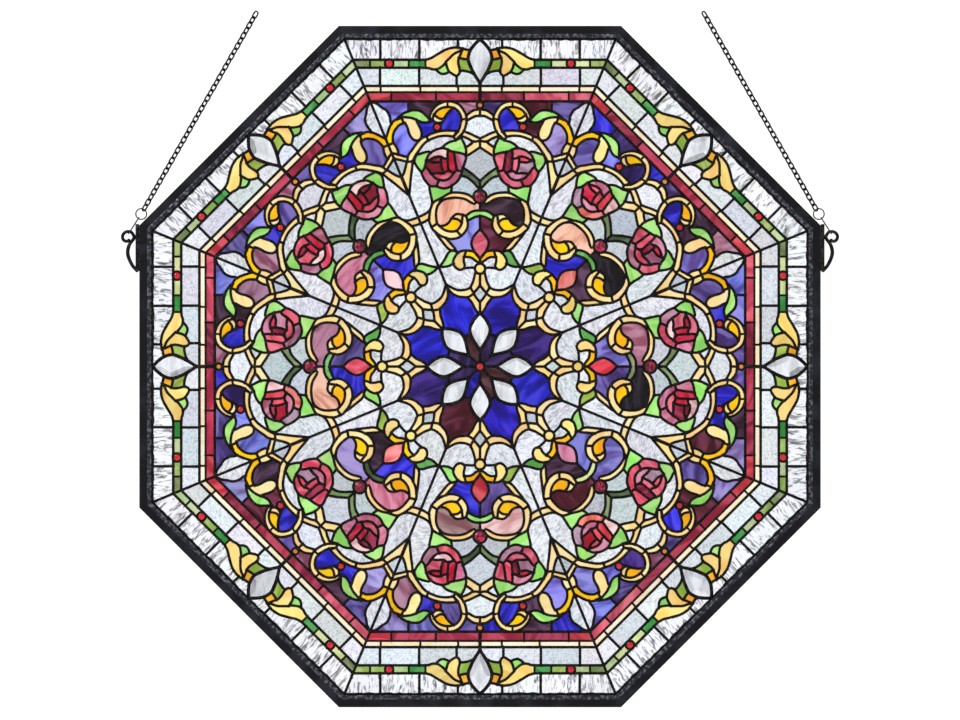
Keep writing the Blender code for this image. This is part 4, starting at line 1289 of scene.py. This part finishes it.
def makeLinks(side, centre):
    h = hanging
    name = sideNames[side]
    bm = bmesh.new()
    radius = (h["linkWidth"] - h["linkWire"]) / 2 * mm
    straight = (h["linkLength"] - h["linkWidth"]) * mm / 2
    lean = Matrix.Rotation(-side * h["lean"], 4, "Y")
    for i in range(h["links"]):
        known = set(bm.verts)
        section = bmesh.ops.create_circle(
            bm, segments=h["linkSides"], radius=h["linkWire"] * mm / 2,
            matrix=Matrix.Rotation(math.pi / h["linkSteps"], 4, "Y")
            @ Matrix.Translation((radius, 0, 0)))["verts"]
        edges = list({e for v in section for e in v.link_edges})
        bmesh.ops.spin(bm, geom=section + edges, cent=(0, 0, 0), axis=(0, 1, 0),
                       angle=2 * math.pi, steps=h["linkSteps"], use_merge=True)
        made = [v for v in bm.verts if v not in known]
        for half in (1, -1):
            bmesh.ops.translate(bm, vec=(0, 0, half * straight),
                                verts=[v for v in made if v.co.z * half > 0])
        along = (h["chainStart"] + i * h["pitch"]) * mm
        place = (Matrix.Translation(centre) @ lean @ Matrix.Translation((0, 0, along))
                 @ Matrix.Rotation(math.radians(h["linkTwist"] * (1 if i % 2 else -1)), 4, "Z"))
        bmesh.ops.transform(bm, matrix=place, verts=made)
    bmesh.ops.recalc_face_normals(bm, faces=bm.faces[:])
    finishPiece(bm, "linkChain_" + name, hardwareMetal, ["chain_" + name],
                centred=False)


def makeWireLoop(side, ringCentre):
    # a bent wire ties the hook's curl to the ring; it is flat in the plane of its own reach
    h = hanging
    name = sideNames[side]
    centre = Vector((abs(ringCentre.x) / mm, (ringCentre.z - panelCentre.z) / mm))
    catch = curlPoint((h["curlFrom"] - h["catchAt"]) / (h["curlFrom"] - h["curlTo"]))
    reach = (catch - centre).length
    along = (catch - centre) / reach
    top = h["ringRadius"] - (h["ringWire"] + h["loopWire"]) / 2 - h["fit"]
    low = reach + (h["wire"] + h["loopWire"]) / 2 + 2 * h["fit"]
    half = (h["wire"] + h["loopWire"]) / 2 + 2 * h["fit"]
    front = [(half * w, v) for v, w in ((top, 0.5), (top + half, 1), (low - half, 1), (low, 0.5))]
    outline = front + [(-u, v) for u, v in reversed(front)] + front[:1]
    run = smoothRun(outline, h["loopFacet"])
    bm = bmesh.new()
    sweepWire(bm, run, [h["loopWire"] / 2] * len(run), h["loopSides"])
    bmesh.ops.recalc_face_normals(bm, faces=bm.faces[:])
    across = Vector((along.y, -along.x))
    place = Matrix(((0, side * across.x, side * along.x, side * centre.x), (1, 0, 0, 0),
                    (0, across.y, along.y, centre.y), (0, 0, 0, 1)))
    bmesh.ops.transform(bm, matrix=Matrix.Diagonal((mm, mm, mm, 1)) @ place, verts=bm.verts[:])
    bmesh.ops.recalc_face_normals(bm, faces=bm.faces[:])
    finishPiece(bm, "wireLoop_" + name, ringMetal, ["wire_loop_" + name])


for side in sideNames:
    makeHook(side)
    ringCentre = makeRing(side)
    makeLinks(side, ringCentre)
    makeWireLoop(side, ringCentre)
print("hanging parts made")

stageSettings = {
    "floorBelow": 0.42, "floorRadius": 3.4, "floorFacets": 96, "floorRoughness": 0.8,
    "floorColour": (0.86, 0.86, 0.87),
    "behind": 1.14, "before": 0.68, "glowBand": 0.3,  # the sky's strengths, and their border
    "keyPower": 30.0, "keySize": 1.6, "keyAt": (-2.2, -2.6, 1.4),
    "cameraDistance": 7.0, "sensor": 36, "farthest": 100,
    "photoWidth": 960, "metresPerPixel": 1.467 * mm, "aimAbovePanel": 9.6 * mm,
}


def makeStage():
    s = stageSettings
    bm = bmesh.new()
    bmesh.ops.create_circle(bm, cap_ends=True, segments=s["floorFacets"],
                            radius=s["floorRadius"])
    bmesh.ops.translate(bm, vec=(0, 0, panelBottom - s["floorBelow"]), verts=bm.verts[:])
    mesh = bpy.data.meshes.new("studioFloor")
    bm.to_mesh(mesh)
    bm.free()
    material, _, _, shader, _ = newMaterial("paleFloor")
    shader.inputs["Base Color"].default_value = (*s["floorColour"], 1)
    shader.inputs["Roughness"].default_value = s["floorRoughness"]
    mesh.materials.append(material)
    floor = addObject("studioFloor", mesh)


def makeLight():
    s = stageSettings
    world = bpy.data.worlds.new("studio")
    bpy.context.scene.world = world
    world.use_nodes = True
    nodes, links = world.node_tree.nodes, world.node_tree.links
    backdrop = nodes["Background"]
    backdrop.inputs["Color"].default_value = (1, 1, 1, 1)
    way = nodes.new("ShaderNodeTexCoord").outputs["Generated"]
    split = linkedNode(nodes, links, "SeparateXYZ", {"Vector": way})
    glow = linkedNode(nodes, links, "MapRange", {
        "Value": split.outputs["Y"], "From Min": -s["glowBand"], "From Max": s["glowBand"],
        "To Min": s["before"], "To Max": s["behind"]})
    links.new(glow.outputs["Result"], backdrop.inputs["Strength"])
    lamp = bpy.data.lights.new("softBox", "AREA")
    lamp.energy = s["keyPower"]
    lamp.size = s["keySize"]
    box = addObject("softBox", lamp)
    box.location = s["keyAt"]
    box.rotation_euler = (panelCentre - box.location).to_track_quat("-Z", "Y").to_euler()


def makeCamera():
    s = stageSettings
    data = bpy.data.cameras.new("camera")
    data.sensor_width = s["sensor"]
    data.lens = s["sensor"] * s["cameraDistance"] / (s["photoWidth"] * s["metresPerPixel"])
    data.clip_end = s["farthest"]
    camera = addObject("camera", data)
    camera.location = (0, -s["cameraDistance"], panelCentre.z + s["aimAbovePanel"])
    camera.rotation_euler = (math.pi / 2, 0, 0)
    bpy.context.scene.camera = camera
    bpy.context.scene.view_settings.view_transform = "Standard"  # white stays white


makeStage()
makeLight()
makeCamera()
print("stage made")

bpy.context.view_layer.update()
